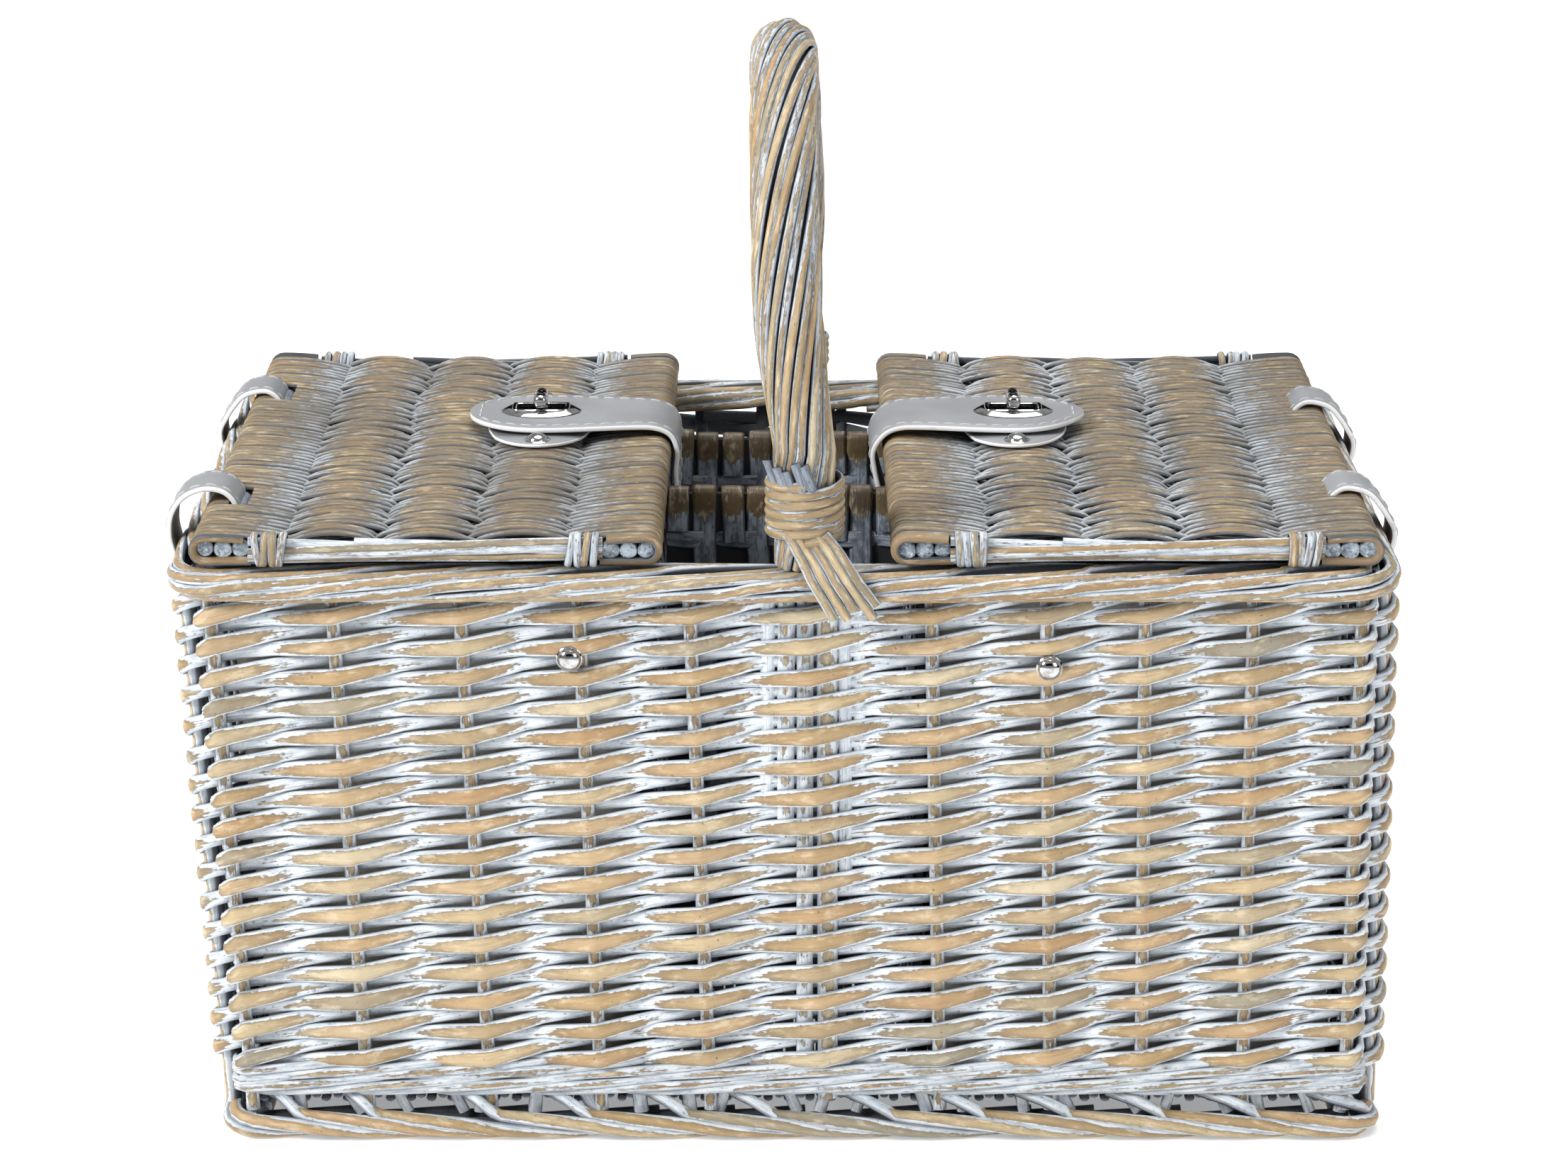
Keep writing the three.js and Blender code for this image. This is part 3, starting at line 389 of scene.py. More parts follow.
class Rods:
    """The rods of one piece. Each is a path of points with an outward direction and a half width."""

    def __init__(self):
        self.paths = []

    def lay(self, places, outward, size, proud=0.0, tone=0.5):
        """Adds a rod. outward, size, proud and tone are one for the rod or one for each point."""
        places = np.array(places, float)
        outward = unit(np.broadcast_to(np.array(outward, float), places.shape))
        path = {
            "core": places * MILLIMETRE,
            "outward": outward,
            "sideways": unit(np.cross(np.gradient(places, axis=0), outward)),
        }
        for key, value in (("size", np.array(size, float) * MILLIMETRE), ("proud", proud), ("tone", tone)):
            path[key] = np.broadcast_to(np.array(value, float), (len(places),))
        path["along"] = run_length(places) + random.random() * 900.0
        self.paths.append(path)

    def trace(self, points, tone):
        """Adds a rod from points of place, outward direction, half width and how proud it stands."""
        self.lay(*zip(*points), tone)

    def mesh(self, name):
        mesh = bpy.data.meshes.new(name)
        whole = {key: np.concatenate([path[key] for path in self.paths]) for key in self.paths[0]}
        edges = []
        start = 0
        for path in self.paths:
            end = start + len(path["core"])
            edges.extend((i, i + 1) for i in range(start, end - 1))
            start = end
        mesh.from_pydata([tuple(p) for p in whole["core"]], edges, [])
        for key, values in whole.items():
            kind, field = ("FLOAT_VECTOR", "vector") if values.ndim == 2 else ("FLOAT", "value")
            layer = mesh.attributes.new(key, kind, "POINT")
            layer.data.foreach_set(field, np.ascontiguousarray(values, np.float32).ravel())
        return mesh


def placed(name, data):
    """A new object in the scene."""
    thing = bpy.data.objects.new(name, data)
    bpy.context.scene.collection.objects.link(thing)
    return thing


def evaluated_mesh(thing):
    """The mesh that an object's modifier makes."""
    bpy.context.view_layer.update()
    evaluated = thing.evaluated_get(bpy.context.evaluated_depsgraph_get())
    return bpy.data.meshes.new_from_object(evaluated)


def made_solid(name, mesh, tree, settings):
    """The plain mesh object that a node tree makes from a mesh."""
    source = placed(name + " paths", mesh)
    modifier = source.modifiers.new("nodes", "NODES")
    modifier.node_group = tree
    for identifier, value in settings.items():
        modifier[identifier] = value
    result = evaluated_mesh(source)
    source.modifiers.remove(modifier)
    bpy.data.objects.remove(source)
    bpy.data.meshes.remove(mesh)
    result.name = name
    for spare in ("core", "outward", "sideways", "size", "proud"):
        if spare in result.attributes:
            result.attributes.remove(result.attributes[spare])
    return placed(name, result)


def fit(piece, body, replaced=()):
    """Puts a finished piece on its body, or bakes it in place when it spans two bodies, and hides the plain
    nodes that it stands for.
    """
    if isinstance(body, tuple):
        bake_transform(piece)
    else:
        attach(piece, body)
    if replaced:
        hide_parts(*replaced)
    return piece


def rod_piece(name, rods, finish, replaced=(), sides=10, front=0.75, back=0.4, body="basket"):
    """A piece made of rods with a number of sides, flattened in front and behind to these shares."""
    settings = {
        ROD_SOCKETS["Sides"]: sides,
        ROD_SOCKETS["Front Depth"]: front,
        ROD_SOCKETS["Back Depth"]: back,
        ROD_SOCKETS["Finish"]: finish,
    }
    piece = made_solid(name, rods.mesh(name), ROD_TREE, settings)
    return fit(piece, body, replaced)


# Places on the body
def wall_plan(z):
    """Middle in X and half sizes of the walls' outer face at a height."""
    fall = 1 - z / BODY_HEIGHT
    half_x = HALF_LENGTH - RIM_OVERHANG - WALL_TAPER * fall
    half_y = HALF_DEPTH - RIM_OVERHANG - WALL_TAPER * fall
    return BASE_LEAN * fall, half_x, half_y


def shares(steps):
    """The shares of a path at its start, after each step and at its end."""
    return [step / steps for step in range(steps + 1)]


def turns(count):
    """Angles that divide a full turn evenly."""
    return np.linspace(0, 2 * math.pi, count, endpoint=False)


def stake_places():
    """The stakes in order round the basket: (kind, share of the half size, sign across)."""
    middle, half_x, half_y = wall_plan(WALL_MIDDLE)
    row = [("corner", -1, -1)]
    row += [("front", (x - middle) / half_x, -1) for x in FRONT_STAKES]
    row += [("corner", 1, -1), ("post", 1, -1)]
    row += [("right", y / half_y, 1) for y in SIDE_STAKES]
    row += [("post", 1, 1), ("corner", 1, 1)]
    row += [("rear", (x - middle) / half_x, 1) for x in REAR_STAKES]
    row += [("corner", -1, 1), ("post", -1, 1)]
    row += [("left", -y / half_y, -1) for y in SIDE_STAKES]
    row += [("post", -1, -1)]
    return row


STAKES = stake_places()
STAKE_COUNT = len(STAKES)


def stake_place(index, z, offset):
    """Place and outward direction at a stake, at a distance outside the weave's middle."""
    kind, first, second = STAKES[index % STAKE_COUNT]
    middle, half_x, half_y = wall_plan(z)
    deep = half_y - WEAVE_INSET + offset
    wide = half_x + SIDE_OUTSET + offset
    if kind in ("front", "rear"):
        return (middle + first * half_x, second * deep, z), (0, second, 0)
    if kind in ("right", "left"):
        return (middle + second * wide, first * half_y, z), (second, 0, 0)
    if kind == "corner":
        return (middle + first * (half_x - CORNER_INSET), second * deep, z), (0, second, 0)
    return (middle + first * wide, second * (half_y - POST_INSET), z), (first, 0, 0)


# Turns of a rod round a corner, from the corner stake to the side's post: distances outside the
# corner of the walls in X and Y, and the outward direction
OUTER_TURN = [
    ((-5.3, 0.9), (0, 1)),
    ((-3.3, 0.95), (0.1, 1)),
    ((-1.9, 0.2), (0.7, 0.7)),
    ((-1.4, -1.6), (1, 0.1)),
    ((-1.2, -6.0), (1, 0)),
    ((-0.4, -10.5), (1, 0)),
]
INNER_TURN = [
    ((-5.3, -5.9), (0, 1)),
    ((-2.5, -6.1), (0, 1)),
    ((1.8, -6.2), (0.1, 1)),
    ((5.0, -6.7), (0.55, 0.8)),
    ((6.1, -8.3), (0.95, 0.3)),
    ((6.4, -10.5), (1, 0)),
]


def corner_turn(index, front_first, z0, z1):
    """Points of a rod between a corner stake and its side's post."""
    here = STAKES[index % STAKE_COUNT]
    starts_at_corner = here[0] == "corner"
    outer = front_first if starts_at_corner else not front_first
    turn = OUTER_TURN if outer else INNER_TURN
    if not starts_at_corner:
        turn = turn[::-1]
    points = []
    for step, ((a, b), (na, nb)) in enumerate(turn):
        z = z0 + (z1 - z0) * step / (len(turn) - 1)
        middle, half_x, half_y = wall_plan(z)
        place = (middle + here[1] * (half_x + a), here[2] * (half_y + b), z)
        points.append((place, (here[1] * na, here[2] * nb, 0)))
    return points


SPAN_STEPS = [0.0, 0.035, 0.12, 0.24, 0.37, 0.5, 0.63, 0.76, 0.88, 0.965]


def weave_span(index, row, way):
    """Shares of the way, places and outward directions of a rod from one stake to the next."""
    z0 = row_height(index, row)
    z1 = row_height(index + 1, row + 1)
    kinds = {STAKES[index % STAKE_COUNT][0], STAKES[(index + 1) % STAKE_COUNT][0]}
    if kinds == {"corner", "post"}:
        turn = corner_turn(index, way > 0, z0, z1)[:-1]
        return [(i / len(turn), *point) for i, point in enumerate(turn)]
    span = []
    for t in SPAN_STEPS:
        rise = 1.35 * t if t < 0.5 else 0.675 + 0.65 * (t - 0.5)
        swing = WEAVE_SWING * (1 - 2 * t) * way
        a, normal = stake_place(index, z0, swing)
        b, _ = stake_place(index + 1, z1, swing)
        place = (a[0] + (b[0] - a[0]) * t, a[1] + (b[1] - a[1]) * t, z0 + (z1 - z0) * rise)
        span.append((t, place, normal))
    return span


def build_weave(name, first, last, replaced, seed):
    """The weave between two places in the order of stakes, given as stake numbers and a half."""
    random.seed(seed)
    rods = Rods()
    for start_row in range(-(STAKE_COUNT + ROWS), ROWS + 1):
        points, tones = [], []
        thick = random.uniform(0.93, 1.07)
        # The draws without a use keep those after them in their order
        random.random()
        for index in range(math.floor(first), math.ceil(last)):
            row = start_row + index - math.floor(first)
            if not -1 <= row < ROWS:
                continue
            way = 1 if row % 2 == 0 else -1
            if way > 0:
                random.random()
                random.random()
            for t, place, normal in weave_span(index, row, way):
                if first <= index + t <= last:
                    tent = (1 - 2 * t) * way
                    size = thick * (2.65 + 0.7 * max(tent, 0.0) ** 0.7)
                    points.append((place, normal, size, -1.7 + (0.65 if tent > 0 else 0.8) * tent))
                    tones.append(stroke_tone(index, row, way))
        if len(points) > 2:
            rods.trace(points, tones)
    return rod_piece(name, rods, wall_willow, replaced, 10, 0.72, 0.4)


def row_height(index, row):
    """Height of a rod's middle at a stake, a little uneven."""
    spread = random.Random((index % STAKE_COUNT) * 977 + row * 13)
    return FIRST_ROW + ROW_HEIGHT * row + spread.uniform(-0.45, 0.45)


def stroke_tone(index, row, way):
    """Tone of a rod from a stake to the next one: it changes where the rod is hidden."""
    if way < 0:
        index += 1
        row += 1
    return random.Random((index % STAKE_COUNT) * 7919 + row * 104729).random()


def row_wave(z):
    """1 in front of a row of the weave, -1 in front of the next one."""
    return math.cos(math.pi * ((z - FIRST_ROW) / ROW_HEIGHT))


def build_wall_stakes():
    """Flat stakes of the four walls, and the round posts at their corners."""
    random.seed(5)
    rods = Rods()
    posts = Rods()
    for index, (kind, _, _) in enumerate(STAKES):
        tone = random.random()
        tilt = random.uniform(-0.6, 0.6)
        places, prouds = [], []
        for z in np.arange(9.0, 203.0, 1.35):
            place, normal = stake_place(index, z, 0.0)
            lean = tilt * (z - WALL_MIDDLE) / WALL_MIDDLE
            places.append((place[0] + lean * abs(normal[1]), place[1], place[2]))
            prouds.append(-1.55 - 0.35 * row_wave(z))
        if kind == "post":
            posts.lay(places, normal, 2.9, prouds, tone)
        elif index != HIDDEN_STAKE:
            rods.lay(places, normal, STAKE_HALF_WIDTH, prouds, tone)
    rod_piece("wall_stakes", rods, wall_willow, (), 10, 0.7, 0.7)
    names = [f"corner_post_{y}_{x}" for y in ("front", "rear") for x in ("left", "right")]
    rod_piece("corner_posts", posts, wall_willow, names, 12, 1.0, 1.0)


def build_walls():
    right_front, right_rear, left_rear = (
        STAKES.index(("corner", *signs)) for signs in ((1, -1), (1, 1), (-1, 1))
    )
    ends = [-1.5, right_front + 1.5, right_rear - 1.5, left_rear + 1.5, STAKE_COUNT - 1.5]
    for number, wall in enumerate(("front", "right", "rear", "left")):
        build_weave(f"{wall}_wall_weave", ends[number], ends[number + 1], [f"{wall}_wall"], 11 + number)


def round_rectangle(share, middle, half_x, half_y, radius):
    """Place and outward direction at a share of the way round, from the front left corner."""
    straight = [2 * (half_x - radius), 2 * (half_y - radius)]
    quarter = math.pi * radius / 2
    lengths = [straight[0], quarter, straight[1], quarter] * 2
    left = (share % 1.0) * sum(lengths)
    corners = [(1, -1), (1, 1), (-1, 1), (-1, -1)]
    for number, length in enumerate(lengths):
        if left <= length or number == 7:
            break
        left -= length
    side = number // 2
    sx, sy = corners[side]
    heading = side * math.pi / 2
    ahead = (math.cos(heading), math.sin(heading))
    away = (ahead[1], -ahead[0])
    if number % 2 == 0:
        reach = (left - length) if length else 0.0
        x = sx * (half_x - radius) + away[0] * radius + ahead[0] * reach
        y = sy * (half_y - radius) + away[1] * radius + ahead[1] * reach
        return (middle + x, y), away
    turn = heading - math.pi / 2 + (left / quarter) * math.pi / 2
    x = sx * (half_x - radius) + math.cos(turn) * radius
    y = sy * (half_y - radius) + math.sin(turn) * radius
    return (middle + x, y), (math.cos(turn), math.sin(turn))


def ring_place(share, z, outset, middle, half_x, half_y, radius):
    (x, y), (nx, ny) = round_rectangle(share, middle, half_x + outset, half_y + outset, radius + outset)
    return (x, y, z), (nx, ny)


def eased(angle, half_width, half_height, power=0.62):
    """A point on a rounded section, as distance outwards and height."""
    c, s = math.cos(angle), math.sin(angle)
    return (
        half_width * math.copysign(abs(c) ** power, c),
        half_height * math.copysign(abs(s) ** power, s),
    )


def rolled(level, angle):
    """Outward direction on a rolled section, from the level one and the turn round the section."""
    tilt = math.cos(angle)
    return level[0] * tilt, level[1] * tilt, math.sin(angle) + 1e-4


def build_rim():
    """Rolled rim: each rod climbs the outer face, crosses the top and goes down inside."""
    random.seed(21)
    rods = Rods()
    half_width = RIM_WIDTH / 2
    plan = (0.0, HALF_LENGTH - half_width, HALF_DEPTH - half_width, 1.5 + half_width)
    for number in range(STAKE_COUNT):
        start = (number + random.uniform(-0.12, 0.12)) / STAKE_COUNT
        run = random.uniform(7.4, 8.0) / STAKE_COUNT
        tone = random.random()
        wobble = random.uniform(0, 6.28)
        points = []
        for t in shares(64):
            if t < 0.42:
                angle = math.radians(-78 + 128 * (t / 0.42))
            else:
                angle = math.radians(50 + 165 * ((t - 0.42) / 0.58))
            out, up = eased(angle, half_width - 1.9, RIM_HEIGHT / 2 - 1.8)
            (x, y, z), level = ring_place(start + run * t, BODY_HEIGHT - RIM_HEIGHT / 2 + up, out, *plan)
            place = (x, y, z + 0.25 * math.sin(t * 19 + wobble))
            size = 2.02 * min(1.0, 0.55 + t * 9)
            points.append((place, rolled(level, angle), size, -1.28 - 2.0 * max(0.0, 0.06 - t) / 0.06))
        rods.trace(points, tone)
    names = ["rim_front", "rim_rear", "rim_left", "rim_right"]
    rod_piece("rim_rods", rods, rim_willow, names, 10, 0.9, 0.9)


def build_foot():
    """Foot border: rods come out between the stakes' feet and roll down to the floor."""
    random.seed(22)
    rods = Rods()
    middle, half_x, half_y = wall_plan(0.0)
    section = (FOOT_WIDTH / 2 - 2.6, FOOT_HEIGHT / 2 - 2.6, 0.7)
    plan = (middle, half_x + FOOT_OVERHANG - FOOT_WIDTH / 2, half_y + FOOT_OVERHANG - FOOT_WIDTH / 2, 6.0)
    for number in range(STAKE_COUNT):
        start = (number + random.uniform(-0.15, 0.15)) / STAKE_COUNT
        run = random.uniform(4.9, 5.3) / STAKE_COUNT
        tone = random.random()
        points = []
        for t in shares(44):
            if t < 0.5:
                angle = math.radians(72 - 150 * (t - 0.05) / 0.45)
            else:
                angle = math.radians(-78 - 100 * (t - 0.5) / 0.5)
            out, up = eased(angle, *section)
            z = FOOT_HEIGHT / 2 + up
            if t < 0.05:
                angle = math.radians(80)
                out = -2.0 + 7.0 * (t / 0.05)
                z = 15.0 - 5.6 * (t / 0.05) ** 1.5
            place, level = ring_place(start + run * t, z, out, *plan)
            proud = -1.7 - 2.0 * max(0.0, 0.07 - t) / 0.07
            points.append((place, rolled(level, angle), 2.6 * min(1.0, 0.75 + t * 4), proud))
        rods.trace(points, tone)
    rod_piece("foot_rods", rods, foot_willow, ["foot_border"], 10, 0.98, 0.9)


def build_waling():
    """Two bands of thin rods over the foot, each in front of two stakes and behind one."""
    random.seed(23)
    rods = Rods()
    feet = Rods()
    for band in range(2):
        for number in range(STAKE_COUNT):
            tone = random.random()
            start = number + 0.5 * band + random.uniform(-0.08, 0.08)
            points = []
            for t in shares(22):
                z = 15.6 + 5.3 * band + 7.6 * t
                middle, half_x, half_y = wall_plan(z)
                arch = math.sin(math.pi * t)
                share = (start + 2.75 * t) / STAKE_COUNT
                plan = (middle, half_x - 0.5, half_y - 1.0, 4.0)
                place, level = ring_place(share, z, 3.6 * arch ** 0.45 - 2.4, *plan)
                points.append((place, (*level, 0.12), 1.25 + 0.6 * arch ** 0.5, -2.93 + 1.54 * arch ** 0.8))
            rods.trace(points, tone)
    for number in range(2 * STAKE_COUNT):
        share = (number + random.uniform(-0.25, 0.25)) / (2 * STAKE_COUNT)
        lean = random.uniform(-0.0035, 0.0065)
        tone = random.random()
        places, outward = [], []
        for step in range(6):
            z = 19.0 - 11.5 * step / 5
            place, level = ring_place(share + lean * step / 5, z, -3.4, *wall_plan(z), 5.0)
            places.append(place)
            outward.append((*level, 0))
        feet.lay(places, outward, random.uniform(1.9, 2.7), -2.6, tone)
    rod_piece("waling_rods", rods, foot_willow, (), 8, 0.9, 0.5)
    rod_piece("stake_feet", feet, wall_willow, (), 8, 0.5, 0.5)


# Lids. A place on a lid is given by its distance from the lid's inner edge
def lid_x(lid, distance):
    return lid["side"] * (lid["inner"] + distance)


def lid_drift(lid, distance, y):
    """How far the rows of a lid wander along Y."""
    turn = lid["side"] * 1.3
    slow = math.sin(y / 19.0 + distance / 31.0 + turn) + 0.6 * math.sin(y / 8.3 - distance / 23.0 + 2 * turn)
    return 0.75 * slow * (1 - (abs(y) / 125) ** 4)


def lid_arch(t):
    return max(math.sin(math.pi * t), 0.0) ** 0.72


def lid_row(lid, over_first, wander=0.0):
    """Distance, height and lift of a row that goes over and under the ridges in turn."""
    ridge = lid["span"] / LID_RIDGES
    crest, cross, low = LID_TOP - 1.25, LID_TOP - 4.6, LID_BOTTOM + 1.4
    end = LID_TOP - LID_MIDDLE
    steps = [0.0, 0.05, 0.13, 0.24, 0.38, 0.5, 0.62, 0.76, 0.87, 0.95]
    if over_first:
        rows = [(ridge * 0.88, LID_BOTTOM + 2.2, 0.0)]
        for degrees in range(270, 89, -20):
            turn = math.radians(degrees)
            rows.append((end + (end - 1.2) * math.cos(turn), LID_MIDDLE + (end - 1.25) * math.sin(turn), 1.0))
        for t in steps[1:]:
            arch = lid_arch(0.5 + t / 2)
            rows.append((end + (ridge - end) * t, cross + (crest - cross) * arch, arch))
    else:
        rows = [(ridge * 0.8, LID_BOTTOM + 2.6, 0.0)]
    far_end = [(lid["span"] - d, z, arch) for d, z, arch in rows[::-1]]
    shift = random.uniform(-wander, wander)
    for number in range(1, LID_RIDGES - 1):
        over = (number % 2 == 0) == over_first
        before, shift = shift, random.uniform(-wander, wander)
        for t in steps:
            arch = lid_arch(t)
            d = ridge * (number + t) + before * (1 - t) + shift * t
            reach = crest - cross if over else low - cross
            rows.append((d, cross + reach * arch, arch if over else -arch))
    rows.append((ridge * (LID_RIDGES - 1), cross, 0.0))
    return rows + far_end


def build_lid_weave(lid):
    random.seed(31 if lid["side"] < 0 else 32)
    pitch = 2 * LID_LAST_ROW / LID_WEAVERS
    slot = [x - lid["inner"] for x in LID_SLOT]
    rods = Rods()
    for number in range(LID_WEAVERS):
        y0 = -LID_LAST_ROW + (number + 0.5) * pitch
        tone = random.random()
        plump = random.uniform(0.92, 1.05)
        rise = random.uniform(-0.3, 0.25)
        phase = random.uniform(0, 6.28)
        runs = [[]]
        for d, z, arch in lid_row(lid, number % 2 == 0, 2.6):
            y = y0 + lid_drift(lid, d, y0) + 0.25 * math.sin(d / 9.0 + phase)
            over_slot = any(abs(y - loop) < 10.7 for loop in lid["loops"])
            if over_slot and slot[0] < d < slot[1]:
                if runs[-1]:
                    runs.append([])
                continue
            runs[-1].append((lid_x(lid, d), y, z + rise * max(arch, 0.0), arch))
        for run in runs:
            if len(run) < 3:
                continue
            places = [point[:3] for point in run]
            lifts = np.array([point[3] for point in run])
            raised = np.maximum(lifts, 0.0)
            prouds = -1.42 + 0.75 * raised ** 1.2 + np.minimum(lifts, 0.0) * 3.0
            rods.lay(places, lid_normals(lid, places), plump * (1.35 + 0.62 * raised ** 0.6), prouds, tone)
    for y in (-116.3, -114.4, 114.4, 116.3):
        tone = random.random()
        for inner_end in (True, False):
            line = [(21.0, LID_BOTTOM + 1.5)]
            line += [(d, z) for d, z, _ in lid_row(lid, True)[1:] if d < lid["span"] / LID_RIDGES * 0.68]
            places = [(lid_x(lid, d if inner_end else lid["span"] - d), y, z) for d, z in line]
            normals = lid_normals(lid, places) * 0.75 + np.array([0.0, math.copysign(0.66, y), 0.0])
            rods.lay(places, normals, 1.75, random.uniform(-0.6, -0.2), tone)
    finish = lid_willows[lid["name"]]
    replaced = [f"lid_panel_{lid['name']}"]
    rod_piece(f"lid_weave_{lid['name']}", rods, finish, replaced, 8, 0.66, 0.5, lid["body"])


def lid_normals(lid, places):
    """Directions out of a row's loop round the lid, square to the row."""
    tangent = np.gradient(np.array(places), axis=0)
    tangent[:, 1] = 0.0
    tangent = unit(tangent)
    return lid["side"] * np.stack([-tangent[:, 2], np.zeros(len(places)), tangent[:, 0]], axis=1)


def build_lid_sticks(lid):
    """Three sticks at each end of a lid, with their cut ends."""
    name, body = lid["name"], lid["body"]
    ends = []
    sticks = Rods()
    for first in (2.2, lid["span"] - 20.6):
        for number in range(3):
            x = lid_x(lid, first + 3.2 + 6.0 * number)
            radius = random.uniform(2.75, 3.2)
            z = LID_MIDDLE + random.uniform(-0.3, 0.2)
            places = [(x, y, z) for y in np.linspace(-LID_EDGE, LID_EDGE, 12)]
            sticks.lay(places, (0, 0, 1), radius, -3.4, random.random())
            for sign in (-1, 1):
                centre = (x, sign * (LID_EDGE + random.uniform(-0.5, 0.8)), z)
                ends.append(cut_end(centre, (0.0, sign, 0.0), radius * 1.01))
    piece_of(f"lid_stick_ends_{name}", merged("ends", ends), CUT_WOOD, (), body)
    replaced = [f"lid_inner_sticks_{name}", f"lid_outer_sticks_{name}"]
    rod_piece(f"lid_sticks_{name}", sticks, shaded_willow, replaced, 14, 1.0, 1.0, body)


# Rods along a lid's front and rear edges: shares of the length where each starts and ends, heights
# there, distance from the middle, half width and how proud it stands
LID_EDGE_RODS = [
    (0.0, 1.0, 215.2, 216.2, 115.6, 1.65, -1.0),
    (0.0, 1.0, 217.4, 221.6, 116.4, 1.6, -0.9),
    (0.0, 0.62, 221.3, 218.2, 115.0, 1.6, -1.5),
    (0.3, 1.0, 221.0, 217.2, 115.0, 1.6, -1.75),
    (0.0, 0.7, 215.9, 219.6, 117.0, 1.35, -1.2),
    (0.45, 1.0, 217.4, 219.4, 116.6, 1.3, -2.0),
]


def build_lid_edges(lid):
    """Rods along the front and rear edges of a lid, and the bindings round them."""
    name, body, span = lid["name"], lid["body"], lid["span"]
    edges = Rods()
    for sign in (-1, 1):
        for start, end, z0, z1, y, radius, proud in LID_EDGE_RODS:
            places = []
            bow = random.uniform(-0.5, 0.5)
            for t in np.linspace(0, 1, 24):
                share = start + (end - start) * t
                x = lid_x(lid, 20.0 + (span - 40.0) * (share if lid["side"] > 0 else 1 - share))
                z = z0 + (z1 - z0) * t + bow * math.sin(math.pi * t)
                places.append((x, sign * (y + 0.5 * math.sin(9 * t + z0)), z))
            edges.lay(places, (0, sign, 0.35), radius, proud, random.random())
    replaced = [f"lid_front_edge_{name}", f"lid_rear_edge_{name}"]
    rod_piece(f"lid_edges_{name}", edges, rim_willow, replaced, 10, 0.95, 0.9, body)

    wraps = Rods()
    for sign, offset, number in itertools.product((-1, 1), (27.0, span - 27.0), range(4)):
        x = lid_x(lid, offset) + (number - 1.5) * 2.7 + random.uniform(-0.25, 0.25)
        lean = random.uniform(-1.0, 1.0)
        places, normals = [], []
        for degrees in range(-150, 196, 15):
            turn = math.radians(degrees)
            out, up = eased(turn, 3.5, 4.9, 0.6)
            places.append((x + lean * up / 5, sign * (115.5 + out), LID_MIDDLE + up))
            normals.append(rolled((0, sign), turn))
        size = random.uniform(1.25, 1.6)
        wraps.lay(places, normals, size, random.uniform(-1.3, -0.5), random.random())
    replaced = [f"lid_binding_{name}_{y}_{x}" for y in ("front", "rear") for x in ("outer", "inner")]
    rod_piece(f"lid_bindings_{name}", wraps, handle_willow, replaced, 8, 0.75, 0.5, body)


def build_lids():
    for lid in LIDS.values():
        build_lid_weave(lid)
        random.seed(41 if lid["side"] < 0 else 42)
        build_lid_sticks(lid)
        build_lid_edges(lid)


# Handle. A place on it is given by the distance along the bow from the foot of its front leg
HANDLE_FOOT = BODY_HEIGHT + 0.3
HANDLE_LEG = HANDLE_SPRING - HANDLE_FOOT
HANDLE_LENGTH = 2 * HANDLE_LEG + math.pi * HANDLE_LEG_Y


def bow_place(s):
    """Middle of the bow, and the direction away from the middle of the hoop."""
    if s < HANDLE_LEG:
        return np.array([HANDLE_FRONT_X, -HANDLE_LEG_Y, HANDLE_FOOT + s]), np.array([0.0, -1.0, 0.0])
    if s > HANDLE_LENGTH - HANDLE_LEG:
        left = HANDLE_LENGTH - s
        return np.array([HANDLE_REAR_X, HANDLE_LEG_Y, HANDLE_FOOT + left]), np.array([0.0, 1.0, 0.0])
    angle = (s - HANDLE_LEG) / HANDLE_LEG_Y
    if angle < math.pi / 2:
        x = HANDLE_FRONT_X * (1 - math.sin(angle)) ** 3
    else:
        x = HANDLE_REAR_X * math.cos(angle) ** 2
    out = np.array([0.0, -math.cos(angle), math.sin(angle)])
    middle = np.array([x, 0.0, HANDLE_SPRING]) + HANDLE_LEG_Y * out
    return middle, out


def bow_radius(s):
    rise = min(s, HANDLE_LENGTH - s)
    share = min(max((rise - 32.0) / 58.0, 0.0), 1.0)
    return 10.8 + 1.2 * share * share * (3 - 2 * share)


def bow_strand(s, turn, radius):
    """A place on a circle round the bow, and the direction away from the bow's middle."""
    middle, out = bow_place(s)
    direction = out * math.cos(turn) + np.array([math.sin(turn), 0.0, 0.0])
    return middle + direction * radius, direction


def build_bow():
    """Strands of the bow, twisted round a core painted dark as the shade between them."""
    rods = Rods()
    steps = np.linspace(0.0, HANDLE_LENGTH, 96)
    for number in range(HANDLE_STRANDS):
        tone = random.random()
        phase = random.uniform(0, 6.28)
        depth = random.uniform(-0.35, 0.35)
        places, normals, prouds = [], [], []
        for s in steps:
            turn = 2 * math.pi * (number / HANDLE_STRANDS + s / 287.0) + 0.035 * math.sin(s / 23.0 + phase)
            inset = 1.75 + depth + 0.2 * math.sin(s / 31.0 + phase * 2)
            place, normal = bow_strand(s, turn, bow_radius(s) - inset)
            places.append(place)
            normals.append(normal)
            prouds.append(-0.98 + 0.3 * math.sin(s / 17.0 + phase))
        rods.lay(places, normals, random.uniform(1.4, 1.7), prouds, tone)
    rod_piece("handle_strands", rods, handle_willow, ["handle_bow"], 9, 1.0, 0.8)

    # The core is painted nearly black: it stands for the shade between the strands.
    core = Rods()
    places, normals = zip(*[bow_place(s) for s in steps])
    core.lay(places, normals, [bow_radius(s) - 3.2 for s in steps], -9.0)
    rod_piece("handle_core", core, painted_shade_willow, (), 20, 1.0, 1.0)


